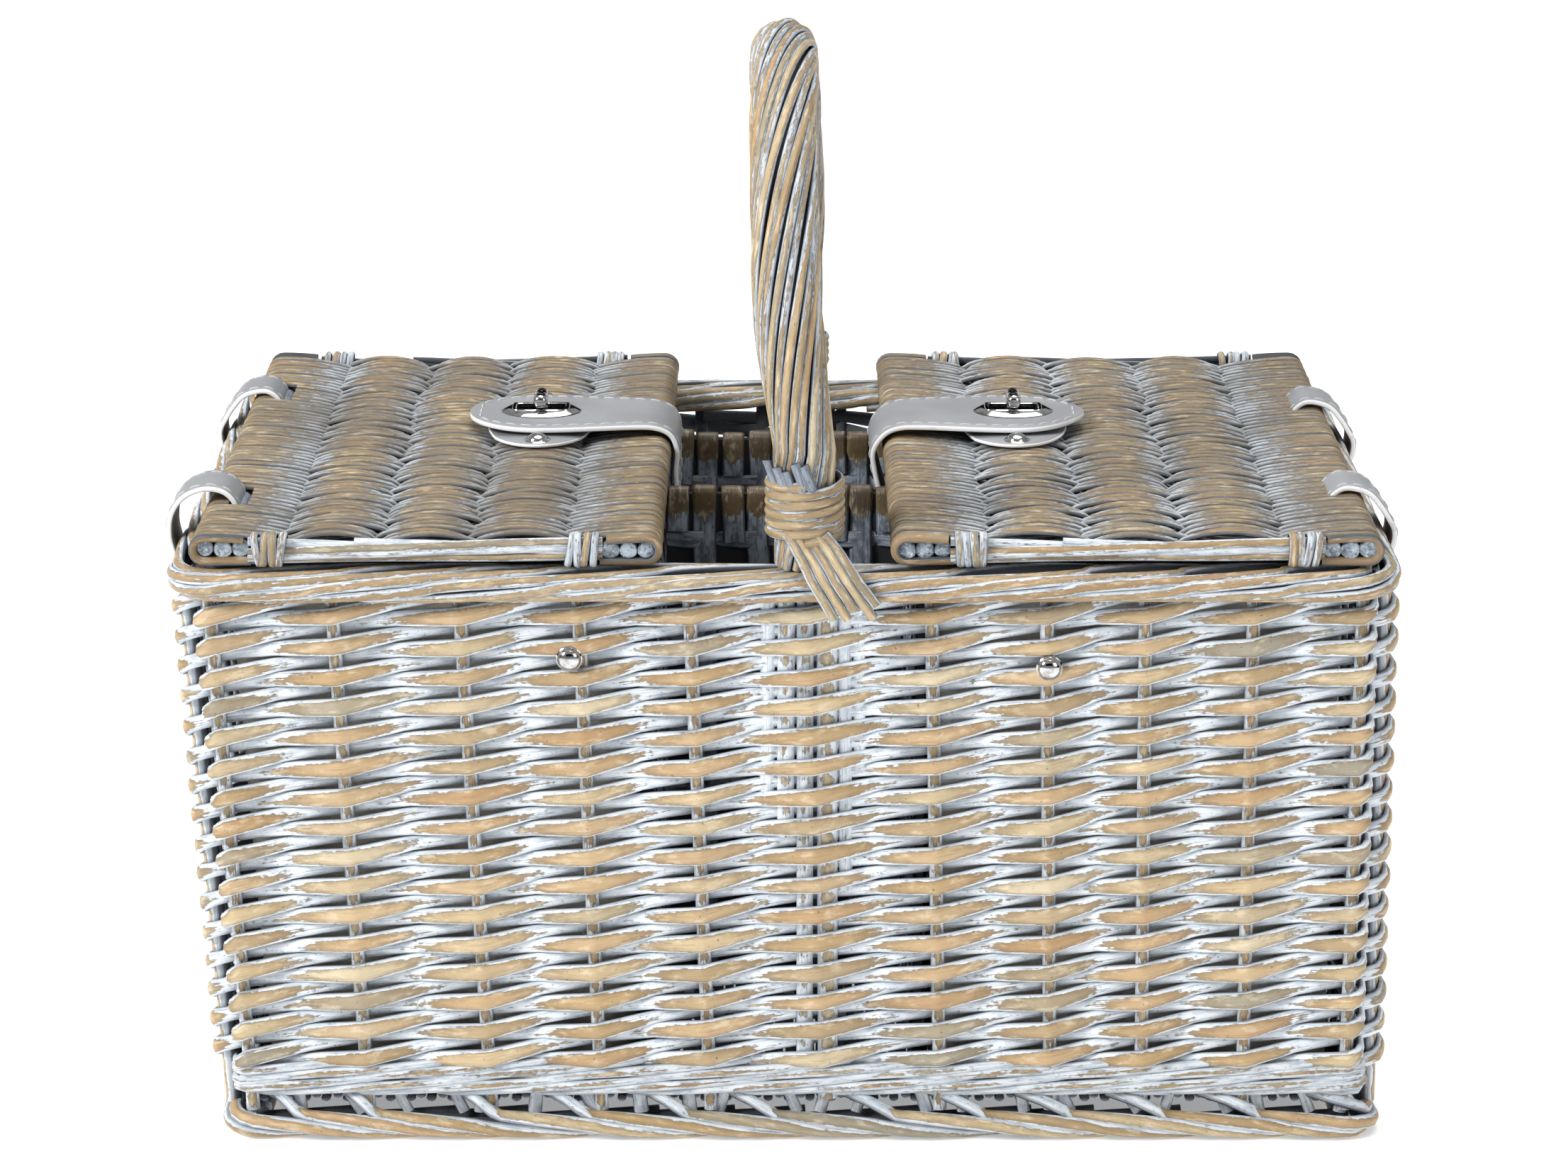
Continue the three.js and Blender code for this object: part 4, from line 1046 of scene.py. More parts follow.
def build_binding(place, foot_x, sign, rise, height):
    """The wrapped binding of one leg of the handle, and the cut ends of rods over it."""
    wraps = Rods()
    turn_steps = 28
    steps = round(height / 3.9) * turn_steps
    points = []
    for step in range(steps + 1):
        angle = 2 * math.pi * step / turn_steps
        direction = np.array([math.sin(angle), sign * math.cos(angle), 0.0])
        z = BODY_HEIGHT + rise + 1.8 + (height - 3.6) * step / steps + 0.9 * math.sin(angle)
        centre = np.array([foot_x, sign * HANDLE_LEG_Y, z])
        points.append((centre + direction * 12.1, direction, 1.8, -0.8 + 0.3 * math.sin(angle * 3.3)))
    wraps.trace(points, 0.25)
    replaced = [f"handle_binding_{place}"]
    rod_piece(f"handle_wraps_{place}", wraps, handle_willow, replaced, 12, 0.85, 0.4)

    ends = Rods()
    top = BODY_HEIGHT + rise + height
    for number in range(5):
        angle = math.radians(-58 + 17 * number + random.uniform(-4, 4))
        direction = np.array([math.sin(angle), sign * math.cos(angle), 0.0])
        line = []
        for z in np.linspace(top - 3.0, top + random.uniform(3.0, 7.0), 5):
            line.append(np.array([foot_x - 0.35 * (z - 243), sign * HANDLE_LEG_Y, z]) + direction * 12.0)
        ends.lay(line, direction, random.uniform(1.6, 2.0), -2.4, random.random())
    rod_piece(f"handle_ends_{place}", ends, shaded_willow, (), 9, 0.9, 0.6)


# Ends of the front binding: Y and Z of their points down over the rim, and their outward directions
TAIL_LINE = [(-121.6, 226.0), (-122.6, 220.0), (-125.2, 215.0), (-127.2, 211.5), (-127.3, 206.0)]
TAIL_OUTWARD = [(0, -1, 0.1), (0, -1, 0.5), (0, -1, 0.6), (0, -1, 0.2), (0, -1, 0), (0, -1, 0)]


def build_tails():
    """The ends of the front binding, which fan out over the rim."""
    tails = Rods()
    for number in range(5):
        start = HANDLE_FRONT_X - 5.0 + 3.3 * number
        slope = 0.56 + 0.045 * number
        end = (-127.0, BODY_HEIGHT - 9.0 - random.uniform(0.0, 6.0))
        places = []
        for y, z in (*TAIL_LINE, end):
            places.append((start + slope * (224.0 - z), y + random.uniform(-0.3, 0.3), z))
        proud = random.uniform(-1.1, -0.6)
        tails.lay(smooth_line(places, 4), smooth_line(TAIL_OUTWARD, 4), 1.7, proud, random.random())
    rod_piece("handle_tails", tails, handle_willow, ["handle_tails_front"], 10, 0.9, 0.7)


def build_handle():
    random.seed(51)
    build_bow()
    build_binding("front", HANDLE_FRONT_X, -1, 9.0, 23.5)
    build_binding("rear", HANDLE_REAR_X, 1, 7.5, 15.5)
    build_tails()


def smooth_line(points, cuts):
    """More points on a smooth curve through the given ones."""
    points = np.array(points, float)
    padded = np.vstack([2 * points[0] - points[1], points, 2 * points[-1] - points[-2]])
    line = []
    for i in range(1, len(padded) - 2):
        a, b, c, d = padded[i - 1:i + 3]
        for t in np.arange(cuts) / cuts:
            line.append(0.5 * (2 * b + (c - a) * t + (2 * a - 5 * b + 4 * c - d) * t * t
                               + (3 * b - a - 3 * c + d) * t ** 3))
    line.append(padded[-2])
    return np.array(line)


# Leather and metal
def leather():
    """Smooth grey leather, white along its cut edges and rough underneath.

    The attribute edge is 1 on a cut edge, and skin is 1 on the outer face and 0 on the inner one.
    """
    material, nodes, shader = new_material("grey leather")
    place = nodes.position()
    cloud = nodes.noise(place, 26.0, 3.0)
    pores = nodes.noise(place, 1500.0, 3.0, 0.6)
    scuff = nodes.noise(place, 190.0, 4.0, 0.7)
    edge = nodes.step(nodes.attribute("edge"), 0.3, 0.55)
    skin = nodes.step(nodes.attribute("skin"), 0.2, 0.8)
    outer = nodes.tinted(
        linear("888a8e"),
        (cloud, 0.35, 0.65, 1.0, "949699"),
        (scuff, 0.6, 0.8, 0.3, "9c9ea0"),
        (pores, 0.6, 0.75, 0.3, "6c6e71"),
    )
    inner = nodes.tinted(linear("6f6a67"), (pores, 0.4, 0.6, 1.0, "8a8581"))
    paint = nodes.tinted(linear("f2f3f4"), (scuff, 0.58, 0.72, 0.5, "b9bcc0"))
    colour = nodes.mix(edge, nodes.mix(skin, inner, outer), paint)
    roughness = 0.62 - skin * 0.18 + (scuff - 0.5) * 0.2
    relief = nodes.bump(pores * 0.5 + scuff * 0.3, 0.00012, 0.6)
    plug(nodes, shader, Base_Color=colour, Roughness=roughness, Normal=relief)
    return material


def nickel():
    """Polished nickel with faint wipe marks and a dulled film in places."""
    material, nodes, shader = new_material("polished nickel")
    film = nodes.noise(nodes.position(), 240.0, 3.0, 0.6)
    wipes = nodes.noise(nodes.position(), 1400.0, 2.0)
    colour = nodes.tinted(linear("cfd0d1"), (film, 0.4, 0.7, 1.0, "9c9a99"))
    roughness = 0.07 + nodes.step(film, 0.45, 0.75) * 0.14
    relief = nodes.bump(wipes * 0.3 + film, 0.00006, 0.5)
    plug(nodes, shader, Base_Color=colour, Metallic=1.0, Roughness=roughness, Normal=relief)
    return material


def thread():
    """Waxed thread, twisted along its length."""
    material, nodes, shader = new_material("pale thread")
    wave_place = nodes.vector(nodes.attribute("along") + nodes.attribute("side") * 0.5, 0.0, 0.0)
    twist = nodes.waves(wave_place, 0.55, 0.6)
    colour = nodes.mix(twist, linear("a9abad"), linear("d0d1d2"))
    plug(nodes, shader, Base_Color=colour, Roughness=0.7, Normal=nodes.bump(twist, 0.0001, 0.7))
    return material


LEATHER = leather()
NICKEL = nickel()
THREAD = thread()


def loft(name, rings, values=None, joined=False, sharp=SHARP_EDGE):
    """A closed solid through rings of points in millimetres. values holds attributes of the points."""
    rings = np.array(rings, float)
    rows, count = rings.shape[:2]
    faces = []
    for row in range(rows if joined else rows - 1):
        here, there = row * count, ((row + 1) % rows) * count
        for i in range(count):
            j = (i + 1) % count
            faces.append((here + i, here + j, there + j, there + i))
    if not joined:
        faces.append(tuple(range(count))[::-1])
        faces.append(tuple(range((rows - 1) * count, rows * count)))
    mesh = bpy.data.meshes.new(name)
    mesh.from_pydata((rings.reshape(-1, 3) * MILLIMETRE).tolist(), [], faces)
    for key, data in (values or {}).items():
        layer = mesh.attributes.new(key, "FLOAT", "POINT")
        layer.data.foreach_set("value", np.ascontiguousarray(data, np.float32).ravel())
    outwards(mesh, sharp)
    return mesh


def outwards(mesh, sharp=SHARP_EDGE):
    """Points the faces of closed shells outwards and shades them smooth between sharp edges."""
    shape = bmesh.new()
    shape.from_mesh(mesh)
    bmesh.ops.recalc_face_normals(shape, faces=shape.faces)
    shape.to_mesh(mesh)
    shape.free()
    mesh.polygons.foreach_set("use_smooth", [True] * len(mesh.polygons))
    mesh.set_sharp_from_angle(angle=math.radians(sharp))


def piece_of(name, mesh, finish, replaced=(), body="basket"):
    """A piece made of a finished mesh."""
    mesh.name = name
    mesh.materials.append(finish)
    return fit(placed(name, mesh), body, replaced)


def merged(name, meshes):
    """One mesh from several."""
    shape = bmesh.new()
    for mesh in meshes:
        shape.from_mesh(mesh)
        bpy.data.meshes.remove(mesh)
    whole = bpy.data.meshes.new(name)
    shape.to_mesh(whole)
    shape.free()
    whole.set_sharp_from_angle(angle=math.radians(SHARP_EDGE))
    return whole


def turned(name, profile, centre, axis="Z", sides=40, sharp=SHARP_EDGE):
    """A solid of revolution from pairs of distance along its axis and radius."""
    rings = []
    for along, radius in profile:
        ring = []
        for turn in turns(sides):
            a, b = radius * math.cos(turn), radius * math.sin(turn)
            place = (a, b, along) if axis == "Z" else (a, along, b)
            ring.append([centre[i] + place[i] for i in range(3)])
        rings.append(ring)
    return loft(name, rings, sharp=sharp)


def strap_mesh(name, line, outward, across, halves, thickness=2.0):
    """A strap along a line on its inner face, with rounded cut edges."""
    line, outward, halves = (np.array(values, float) for values in (line, outward, halves))
    across = np.array(across, float)
    rings, edge, skin = [], [], []
    for place, normal, half in zip(line, outward, halves):
        bevel = min(0.4, 0.45 * half)
        top = [(a, thickness, 0, 1) for a in np.linspace(bevel - half, half - bevel, 9)]
        right = [(half, thickness - bevel, 1, 1), (half, bevel, 1, 0)]
        under = [(a, 0.0, 0, 0) for a in np.linspace(half - bevel, bevel - half, 5)]
        left = [(-half, bevel, 1, 0), (-half, thickness - bevel, 1, 1)]
        loop = top + right + under + left
        rings.append([place + across * a + normal * h for a, h, _, _ in loop])
        edge.append([e for _, _, e, _ in loop])
        skin.append([s for _, _, _, s in loop])
    return loft(name, rings, {"edge": edge, "skin": skin}, sharp=60)


def even_normals(line, across):
    """Outward directions of a line whose strap lies across it."""
    return np.cross(unit(np.gradient(np.array(line, float), axis=0)), across)


def stitch(rods, line, outward, length=3.9, gap=1.9):
    """Lays a row of stitches on a line of a face."""
    line, outward = np.array(line, float), np.array(outward, float)
    along = run_length(line)
    count = int((along[-1] + gap) // (length + gap))
    start = (along[-1] - count * (length + gap) + gap) / 2
    for number in range(count):
        spots = start + number * (length + gap) + length * np.array([0.0, 0.14, 0.5, 0.86, 1.0])
        points, normals = (
            np.stack([np.interp(spots, along, values[:, i]) for i in range(3)], axis=1)
            for values in (line, outward)
        )
        points += normals * np.array([-0.35, 0.03, 0.14, 0.03, -0.35])[:, None]
        rods.lay(points, normals, 0.34, 0.0, random.random())


# Paths of the hinge loops: distance from the basket's middle, and height
LOOP_INSIDE = [
    (188.7, 218.4), (188.7, 212.0), (188.7, 206.0), (189.3, 201.4), (192.5, 199.7), (200.0, 199.5),
    (207.6, 199.9),
]
OPEN_LOOP = [
    (207.6, 199.9), (210.3, 201.6), (211.8, 206.0), (212.7, 212.0), (211.6, 219.0),
    (207.4, 224.9), (200.6, 227.9), (193.9, 227.2), (189.9, 223.6), (188.7, 218.4),
]
TIGHT_LOOP = [
    (207.6, 199.9), (210.3, 201.6), (212.2, 205.6), (212.3, 210.6), (209.8, 215.4), (207.0, 219.6),
    (203.6, 223.4), (199.4, 225.3), (194.2, 225.7), (190.2, 223.0), (188.7, 218.4),
]


def joined_bodies(lid, y, start, end):
    ends = [tuple(np.array([lid["side"] * x, y, z]) * MILLIMETRE) for x, z in (start, end)]
    return lid["body"], "basket", *ends


def build_loop(lid, place, y):
    """A leather loop round the rim, through the slot in its lid."""
    random.seed(61)
    side = lid["side"]
    label = f"{lid['name']}_{place}"
    stitches = Rods()
    outside = OPEN_LOOP if label == "left_front" else TIGHT_LOOP
    for part, points in (("inside", LOOP_INSIDE), ("outside", outside)):
        line = np.array([(side * x, y, z) for x, z in smooth_line(points, 6)])
        normals = even_normals(line, ACROSS)
        middle = len(line) // 2
        if np.dot(normals[middle], line[middle] - (side * 200.3, y, 213.4)) < 0:
            normals = -normals
        mesh = strap_mesh("loop", line - normals, normals, ACROSS, np.full(len(line), 10.0))
        if part == "inside":
            bend = joined_bodies(lid, y, (188.7, 214.0), (188.7, 203.0))
            replaced = ()
        else:
            bend = joined_bodies(lid, y, (190.0, 214.0), (207.0, 214.0))
            replaced = [f"hinge_loop_{label}"]
            for edge in (-7.6, 7.6):
                stitch(stitches, line[4:] + normals[4:] + ACROSS * edge, normals[4:])
        piece_of(f"loop_{part}_{label}", mesh, LEATHER, replaced, bend)
    rod_piece(f"loop_stitches_{label}", stitches, THREAD, (), 6, 1.0, 1.0, bend)


def strap_half(lid, distance):
    """Half width of a closure strap."""
    if distance <= LOCK_DISTANCE:
        share = max(distance, 0.0) / LOCK_DISTANCE
        return 18.0 + 4.5 * share * share * (3 - 2 * share)
    reach = min((distance - LOCK_DISTANCE) / TIP_LENGTH, 0.9995)
    return 22.5 * (1 - reach * reach) ** (0.5 if lid["side"] < 0 else 0.66)


def build_patch(lid, x, y):
    """The oval leather patch under a lock, with a rivet at both ends."""
    name, body = lid["name"], lid["body"]

    def dip(px):
        """How far the patch sinks over a valley of the lid."""
        share = ((px * lid["side"] - lid["inner"]) / lid["span"] * LID_RIDGES) % 1.0
        return 1.1 * (1 - lid_arch(share))

    half_x, half_y, sides = 19.5, 33.0, 72
    rings, edge, skin = [], [], []
    profile = [(19.4, 0.0, 0, 0), (0.4, 0.0, 0, 0), (0.0, 0.35, 1, 0), (0.0, 1.05, 1, 1), (0.4, 1.4, 0, 1)]
    profile += [(inset, 1.4, 0, 1) for inset in (2.5, 6.0, 10.0, 15.0, 19.4)]
    for inset, h, e, s in profile:
        ring = []
        for turn in turns(sides):
            px = x + (half_x - inset) * math.cos(turn)
            py = y + (half_y - inset * half_y / half_x * (0.6 + 0.4 * inset / half_x)) * math.sin(turn)
            ring.append((px, py, 224.1 + h - dip(px)))
        rings.append(ring)
        edge.append([e] * sides)
        skin.append([s] * sides)
    mesh = loft("patch", rings, {"edge": edge, "skin": skin}, sharp=60)
    piece_of(f"lock_patch_{name}", mesh, LEATHER, (), body)

    dome = [(0.0, 0.02), (0.0, 4.6), (0.35, 4.65), (0.6, 4.3), (0.75, 3.7)]
    for a in np.linspace(0.15, math.pi / 2, 9):
        dome.append((0.75 + 2.0 * math.sin(a), max(3.6 * math.cos(a), 0.02)))
    rivets = [turned("rivet", dome, (x, y + way * 27.0, 224.6 - dip(x) + 0.55)) for way in (-1, 1)]
    piece_of(f"patch_rivets_{name}", merged("rivets", rivets), NICKEL, [f"lock_patch_{name}"], body)


def closure_line(lid):
    """Distance and height of the closure strap's inner face, from its tip to its free end."""
    left = lid["side"] < 0
    tuck = 0.6 if left else 2.6
    bulge = -1.2 if left else -2.6
    flat = [(73.9, 226.9), (66.0, 226.75), (50.0, 226.6), (30.0, 226.6), (14.0, 226.6)]
    bend = [(6.0, 226.1), (0.8, 223.6), (bulge, 218.0), (bulge + 0.5, 211.5)]
    tail = [(tuck * 0.3 - 1.0, 203.5), (tuck - 1.0, 196.5), (tuck - 0.9, 190.0)]
    tip = LOCK_DISTANCE + TIP_LENGTH * np.sin(np.linspace(math.pi / 2, 0.25, 22))
    line = [(d, 226.6 + 0.3 * ((d - 50.0) / 24.0) ** 2 if d > 50.0 else 226.6) for d in tip]
    line += [tuple(p) for p in smooth_line(flat + bend + tail, 6) if p[0] < tip[-1] - 0.8]
    return np.array(line)


def build_closure(lid, x, y):
    """The closure strap, with its eyelet's hole and its stitches."""
    name, body = lid["name"], lid["body"]
    line = closure_line(lid)
    places = np.array([(lid_x(lid, d), y, z) for d, z in line])
    normals = even_normals(places, ACROSS)
    if normals[2][2] < 0:
        normals = -normals
    halves = [max(strap_half(lid, d), 0.25) for d in line[:, 0]]
    mesh = strap_mesh("strap", places, normals, ACROSS, halves)
    replaced = [f"closure_strap_{name}"]
    strap = piece_of(f"closure_strap_{name}", mesh, LEATHER, replaced, body)
    pierce(strap, x, y)

    stitches = Rods()
    inset = 3.1
    rows = [i for i in range(len(line)) if halves[i] > inset + 1.0 and line[i][0] < 70.6]
    tops = places + normals * 2.0
    for way in (-1, 1):
        stitch(stitches, [tops[i] + ACROSS * way * (halves[i] - inset) for i in rows], normals[rows])
    first = rows[0]
    cross = np.linspace(-1, 1, 9)[:, None] * ACROSS * (halves[first] - inset)
    stitch(stitches, tops[first] + cross, np.tile(normals[first], (9, 1)))
    rod_piece(f"strap_stitches_{name}", stitches, THREAD, (), 6, 1.0, 1.0, body)


# Rings of the eyelet from its inside round over its top: half length, half width, height and the
# power that rounds the outline, from nearly square to an ellipse
EYELET_RINGS = [
    (9.0, 4.0, 226.8, 0.22), (9.0, 4.0, 230.2, 0.22), (9.3, 4.3, 230.5, 0.25), (10.3, 5.2, 230.55, 0.3),
    (10.6, 5.6, 230.2, 0.4), (11.6, 6.9, 230.15, 0.8), (12.6, 7.9, 229.9, 0.95), (14.2, 9.4, 229.15, 1.0),
    (14.5, 9.7, 228.9, 1.0), (14.2, 9.4, 228.7, 1.0), (11.0, 6.2, 228.7, 1.0), (11.0, 6.2, 226.8, 1.0),
]
# The knob's bar from one end to its middle, and the stem under it: distance along the axis and radius
BAR_END = [
    (6.5, 0.05), (6.42, 1.1), (6.1, 1.9), (5.6, 2.35), (5.0, 2.5), (4.85, 2.1), (4.6, 2.1), (4.45, 2.6),
    (3.75, 2.6), (3.6, 2.15), (3.35, 2.15), (3.2, 2.6), (2.2, 2.7), (0.8, 2.55),
]
STEM = [
    (-6.0, 0.05), (-6.0, 1.5), (-3.9, 1.5), (-3.6, 2.2), (-2.9, 2.2), (-2.6, 1.6), (0.0, 1.6), (0.0, 0.05),
]


def build_lock(lid):
    """Patch, closure strap, eyelet and knob of a lid's turn lock."""
    random.seed(71 if lid["side"] < 0 else 72)
    name, body = lid["name"], lid["body"]
    x, y = lid_x(lid, LOCK_DISTANCE), 18.0
    build_patch(lid, x, y)
    build_closure(lid, x, y)

    rings = []
    for a, b, z, power in EYELET_RINGS:
        corners = [eased(turn, a, b, power) for turn in turns(88)]
        rings.append([(x + u, y + v, z) for u, v in corners])
    mesh = loft("eyelet", rings, joined=True, sharp=22)
    piece_of(f"eyelet_{name}", mesh, NICKEL, [f"eyelet_plate_{name}"], body)

    centre = (x, y, 233.5)
    bar = turned("bar", [(-d, r) for d, r in BAR_END] + BAR_END[::-1], centre, "Y", 28, 25)
    stem = turned("stem", STEM, centre, "Z", 24, 25)
    replaced = [f"turn_knob_{name}"]
    piece_of(f"knob_{name}", merged("knob", [bar, stem]), NICKEL, replaced, f"knob_{name}")


def pierce(piece, x, y):
    """Cuts the eyelet's oval hole through a strap."""
    rings = []
    for z in (222.0, 232.0):
        rings.append([(x + 11.3 * math.cos(turn), y + 6.5 * math.sin(turn), z) for turn in turns(48)])
    cutter = placed("cutter", loft("cutter", rings))
    modifier = piece.modifiers.new("hole", "BOOLEAN")
    modifier.operation = "DIFFERENCE"
    modifier.solver = "EXACT"
    modifier.object = cutter
    whole = evaluated_mesh(piece)
    piece.modifiers.remove(modifier)
    spare = (piece.data, cutter.data)
    piece.data = whole
    bpy.data.objects.remove(cutter)
    for mesh in spare:
        bpy.data.meshes.remove(mesh)


def build_wall_rivets():
    """Dome rivets through the front wall."""
    dome = [(12.0, 0.05), (12.0, 1.5), (0.0, 1.5), (0.0, 4.4), (-0.5, 4.45), (-0.8, 4.0)]
    for a in np.linspace(0.1, math.pi / 2, 9):
        dome.append((-0.8 - 2.4 * math.sin(a), max(3.9 * math.cos(a), 0.03)))
    for name, x, z in (("front_rivet_left", -72.8, 180.4), ("front_rivet_right", 90.0, 177.0)):
        mesh = turned("rivet", dome, (x, -wall_plan(z)[2] - 2.6, z), "Y", 36)
        piece_of(f"dome_{name}", mesh, NICKEL, [name])


# Inside
STRIP_TANS = ["544836", "463f35", "5d4f3a", "423e39", "5f5442", "4c453d"]
STRIP_WASHES = ["97a1ac", "5e6570"]
divider_willow = willow("bronze willow strips", STRIP_TANS, STRIP_WASHES, "202228", 0.7, 0.5, -0.2, 0.34)


def build_divider(name, start, end, replaced, seed):
    """A partition: upright strips folded over its top, crossed by level strips."""
    random.seed(seed)
    start, end = np.array(start, float), np.array(end, float)
    length = np.linalg.norm(end - start)
    ahead = (end - start) / length
    square = np.array([-ahead[1], ahead[0], 0.0])
    strips = Rods()
    count = int(length // 9.4)
    for number in range(count):
        middle = start + ahead * (length / count) * (number + 0.5 + random.uniform(-0.06, 0.06))
        width = random.uniform(3.9, 4.4)
        rise = random.uniform(-0.9, 0.4)
        lean = random.uniform(-0.9, 0.9)
        tone = random.random()
        drops = [random.uniform(15.0, 21.0), 190.0]
        if number % 2:
            drops.reverse()
        strip = []
        for way, drop in zip((-1, 1), drops):
            shoulder = middle + square * way * 1.75 + UP * (rise - 0.75)
            half = [(shoulder, square * way * 0.8 + UP * 0.8, -1.0)]
            for depth in np.arange(0.0, drop, 4.5):
                turn = math.pi * (depth - 8.0) / 19.0 + math.pi * (number % 2)
                wave = 0.75 * math.cos(turn) if drop > 100 else 0.9
                out = 2.35 + (wave if depth > 6 else 0.0)
                place = middle + square * way * out + ahead * lean * depth / 20 * (depth < 22)
                half.append((place - UP * (depth + 2.4 - rise), square * way, depth))
            if way < 0:
                half = [*half[::-1], (middle + UP * rise, UP, -2.0)]
            strip += half
        places = [place + UP * DIVIDER_TOP for place, _, _ in strip]
        prouds = [0.6 - 2.4 * min(max((depth - 3.0) / 16.0, 0.0), 1.0) for _, _, depth in strip]
        strips.lay(places, [normal for _, normal, _ in strip], width, prouds, tone)
    for level, z in enumerate(np.arange(DIVIDER_TOP - 20.0, 22.0, -19.0)):
        for way in (-1, 1):
            tone = random.random()
            places = []
            for share in shares(int(length / 3.0)):
                wave = 0.9 * math.cos(math.pi * share * count + math.pi * level)
                places.append(start + (end - start) * share + square * way * (2.1 + wave * way) + UP * z)
            strips.lay(places, square * way, 3.4, -0.9, tone)
    rod_piece(name, strips, divider_willow, replaced, 8, 0.1, 0.1)

    # A core between the two faces of strips, painted nearly black as the shade seen through their gaps.
    corners = [place + square * way * 1.5 for place, way in ((start, -1), (end, -1), (end, 1), (start, 1))]
    rings = [[(c[0], c[1], z) for c in corners] for z in np.linspace(17.0, 204.6, 12)]
    looks = {"along": 50.0, "side": 0.2, "facing": 0.1, "tone": 0.4, "lift": -3.0}
    values = {key: np.full((12, 4), value) for key, value in looks.items()}
    piece_of(f"{name}_core", loft("core", rings, values), painted_shade_willow)


def build_dividers():
    for sign, label in ((-1, "left"), (1, "right")):
        x, y = sign * 47.0, 103.6
        build_divider(f"divider_strips_{label}", (x, -y, 0), (x, y, 0), [f"divider_{label}"], 81 + sign)
    for y, label in ((-6.0, "front"), (63.7, "rear")):
        ends = ((-42.8, y, 0), (42.8, y, 0))
        build_divider(f"cross_strips_{label}", *ends, [f"cross_divider_{label}"], 85 + int(y))


def lining_cloth():
    """Plain woven cotton."""
    material, nodes, shader = new_material("grey beige cotton")
    place = nodes.position()
    cloud = nodes.noise(place, 18.0, 3.0)
    slub = nodes.noise(place, 420.0, 3.0, 0.6)
    threads = [nodes.waves(place, 420.0, 0.8, direction) for direction in ("X", "Y", "Z")]
    weave = threads[0] * 0.34 + threads[1] * 0.33 + threads[2] * 0.33
    colour = nodes.tinted(
        linear("a39d92"),
        (cloud, 0.35, 0.65, 1.0, "b3ada2"),
        (slub, 0.55, 0.75, 0.5, "8b857b"),
    )
    colour = nodes.mix(weave * 0.3, colour, linear("c6c1b7"))
    plug(nodes, shader, Base_Color=colour, Roughness=0.95, Normal=nodes.bump(weave + slub * 0.5, 0.0003, 0.5))
    return material


CLOTH = lining_cloth()


def build_lining(lid):
    """The cloth lining of a large compartment: one sheet over its floor and up its four sides."""
    random.seed(91)
    side, name = lid["side"], lid["name"]
    columns = 96
    phases = [random.uniform(0, 6.28) for _ in range(2)]

    def ring(z, inset, radius):
        middle, half_x, half_y = wall_plan(z)
        far = side * middle + half_x - CLOTH_INSET - inset
        near = PARTITION_FACE + inset
        centre, half = (far + near) / 2, (far - near) / 2
        points = []
        for column in range(columns):
            share = column / columns
            plan = (side * centre, half, half_y - CLOTH_INSET - inset, radius)
            (px, py), (nx, ny) = round_rectangle(share, *plan)
            puff = 0.35 * math.sin(share * 37.0 + z / 17.0 + phases[0])
            puff += 0.25 * math.sin(share * 71.0 - z / 9.0 + phases[1])
            points.append((px - nx * abs(puff), py - ny * abs(puff), z))
        return points

    outside = [(16.8, 60.0, 6.0), (16.8, 30.0, 6.0), (16.9, 6.6, 9.0), (17.4, 2.4, 8.0), (20.0, 0.4, 7.0)]
    outside += [(28.0, 0.1, 6.0), (108.0, 0.1, 6.0), (188.0, 0.1, 6.0)]
    top = [(195.6, 0.1, 5.0), (195.9, 0.5, 5.0), (195.6, 0.9, 5.0)]
    inside = [(z, 0.9, 6.0) for z in np.linspace(188.0, 28.0, 16)]
    inside += [(22.0, 1.2, 7.0), (18.6, 3.2, 8.0), (17.5, 7.0, 9.0)]
    inside += [(17.4, inset, 6.0) for inset in (14.0, 24.0, 36.0, 48.0, 60.0)]
    mesh = loft("lining", [ring(*place) for place in outside + top + inside], sharp=60)
    piece = piece_of(f"lining_cloth_{name}", mesh, CLOTH, [f"lining_{name}"])


def build_lid_lining(lid):
    """The thin cloth stretched under a lid, with a sewn hem all round."""
    random.seed(92)
    name = lid["name"]
    low, high = (np.array(corner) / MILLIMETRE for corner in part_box(f"lid_lining_{name}"))
    middle, half = (low + high) / 2, (high - low) / 2
    columns = 120

    def ring(inset, z, ripple=0.0):
        points = []
        for column in range(columns):
            plan = (middle[0], half[0] - inset, half[1] - inset, 3.0)
            (px, py), _ = round_rectangle(column / columns, *plan)
            rise = ripple * (0.5 + 0.5 * math.sin(px / 6.3 + 0.4 * math.sin(py / 21.0)))
            points.append((px, middle[1] + py, z + rise))
        return points

    hem = 7.0
    lift = 0.12
    under = [(60.0, lift), (45.0, lift), (30.0, lift), (18.0, lift), (hem + 0.5, lift)]
    under += [(hem, 0.0), (0.7, 0.0), (0.2, 0.12), (0.0, 0.25)]
    rings = [ring(inset, low[2] + rise) for inset, rise in under]
    over = [(0.2, 0.1, 0.0), (0.7, 0.0, 0.0), (hem, 0.0, 0.0), (hem + 0.5, 0.14, 0.05)]
    over += [(inset, 0.14, 0.1) for inset in (18.0, 30.0, 45.0, 60.0)]
    rings += [ring(inset, high[2] - fall, ripple) for inset, fall, ripple in over]
    mesh = loft("lining", rings, sharp=60)
    body = lid["body"]
    piece = piece_of(f"lid_cloth_{name}", mesh, CLOTH, [f"lid_lining_{name}"], body)

    stitches = Rods()
    seam = []
    for share in np.linspace(0, 1, 160):
        plan = (middle[0], half[0] - hem + 1.5, half[1] - hem + 1.5, 3.0)
        (px, py), _ = round_rectangle(share % 1.0, *plan)
        seam.append((px, middle[1] + py, low[2] + 0.1))
    stitch(stitches, seam, np.tile((0.0, 0.0, -1.0), (len(seam), 1)), 3.2, 1.4)
    rod_piece(f"lid_cloth_stitches_{name}", stitches, THREAD, (), 6, 1.0, 1.0, body)


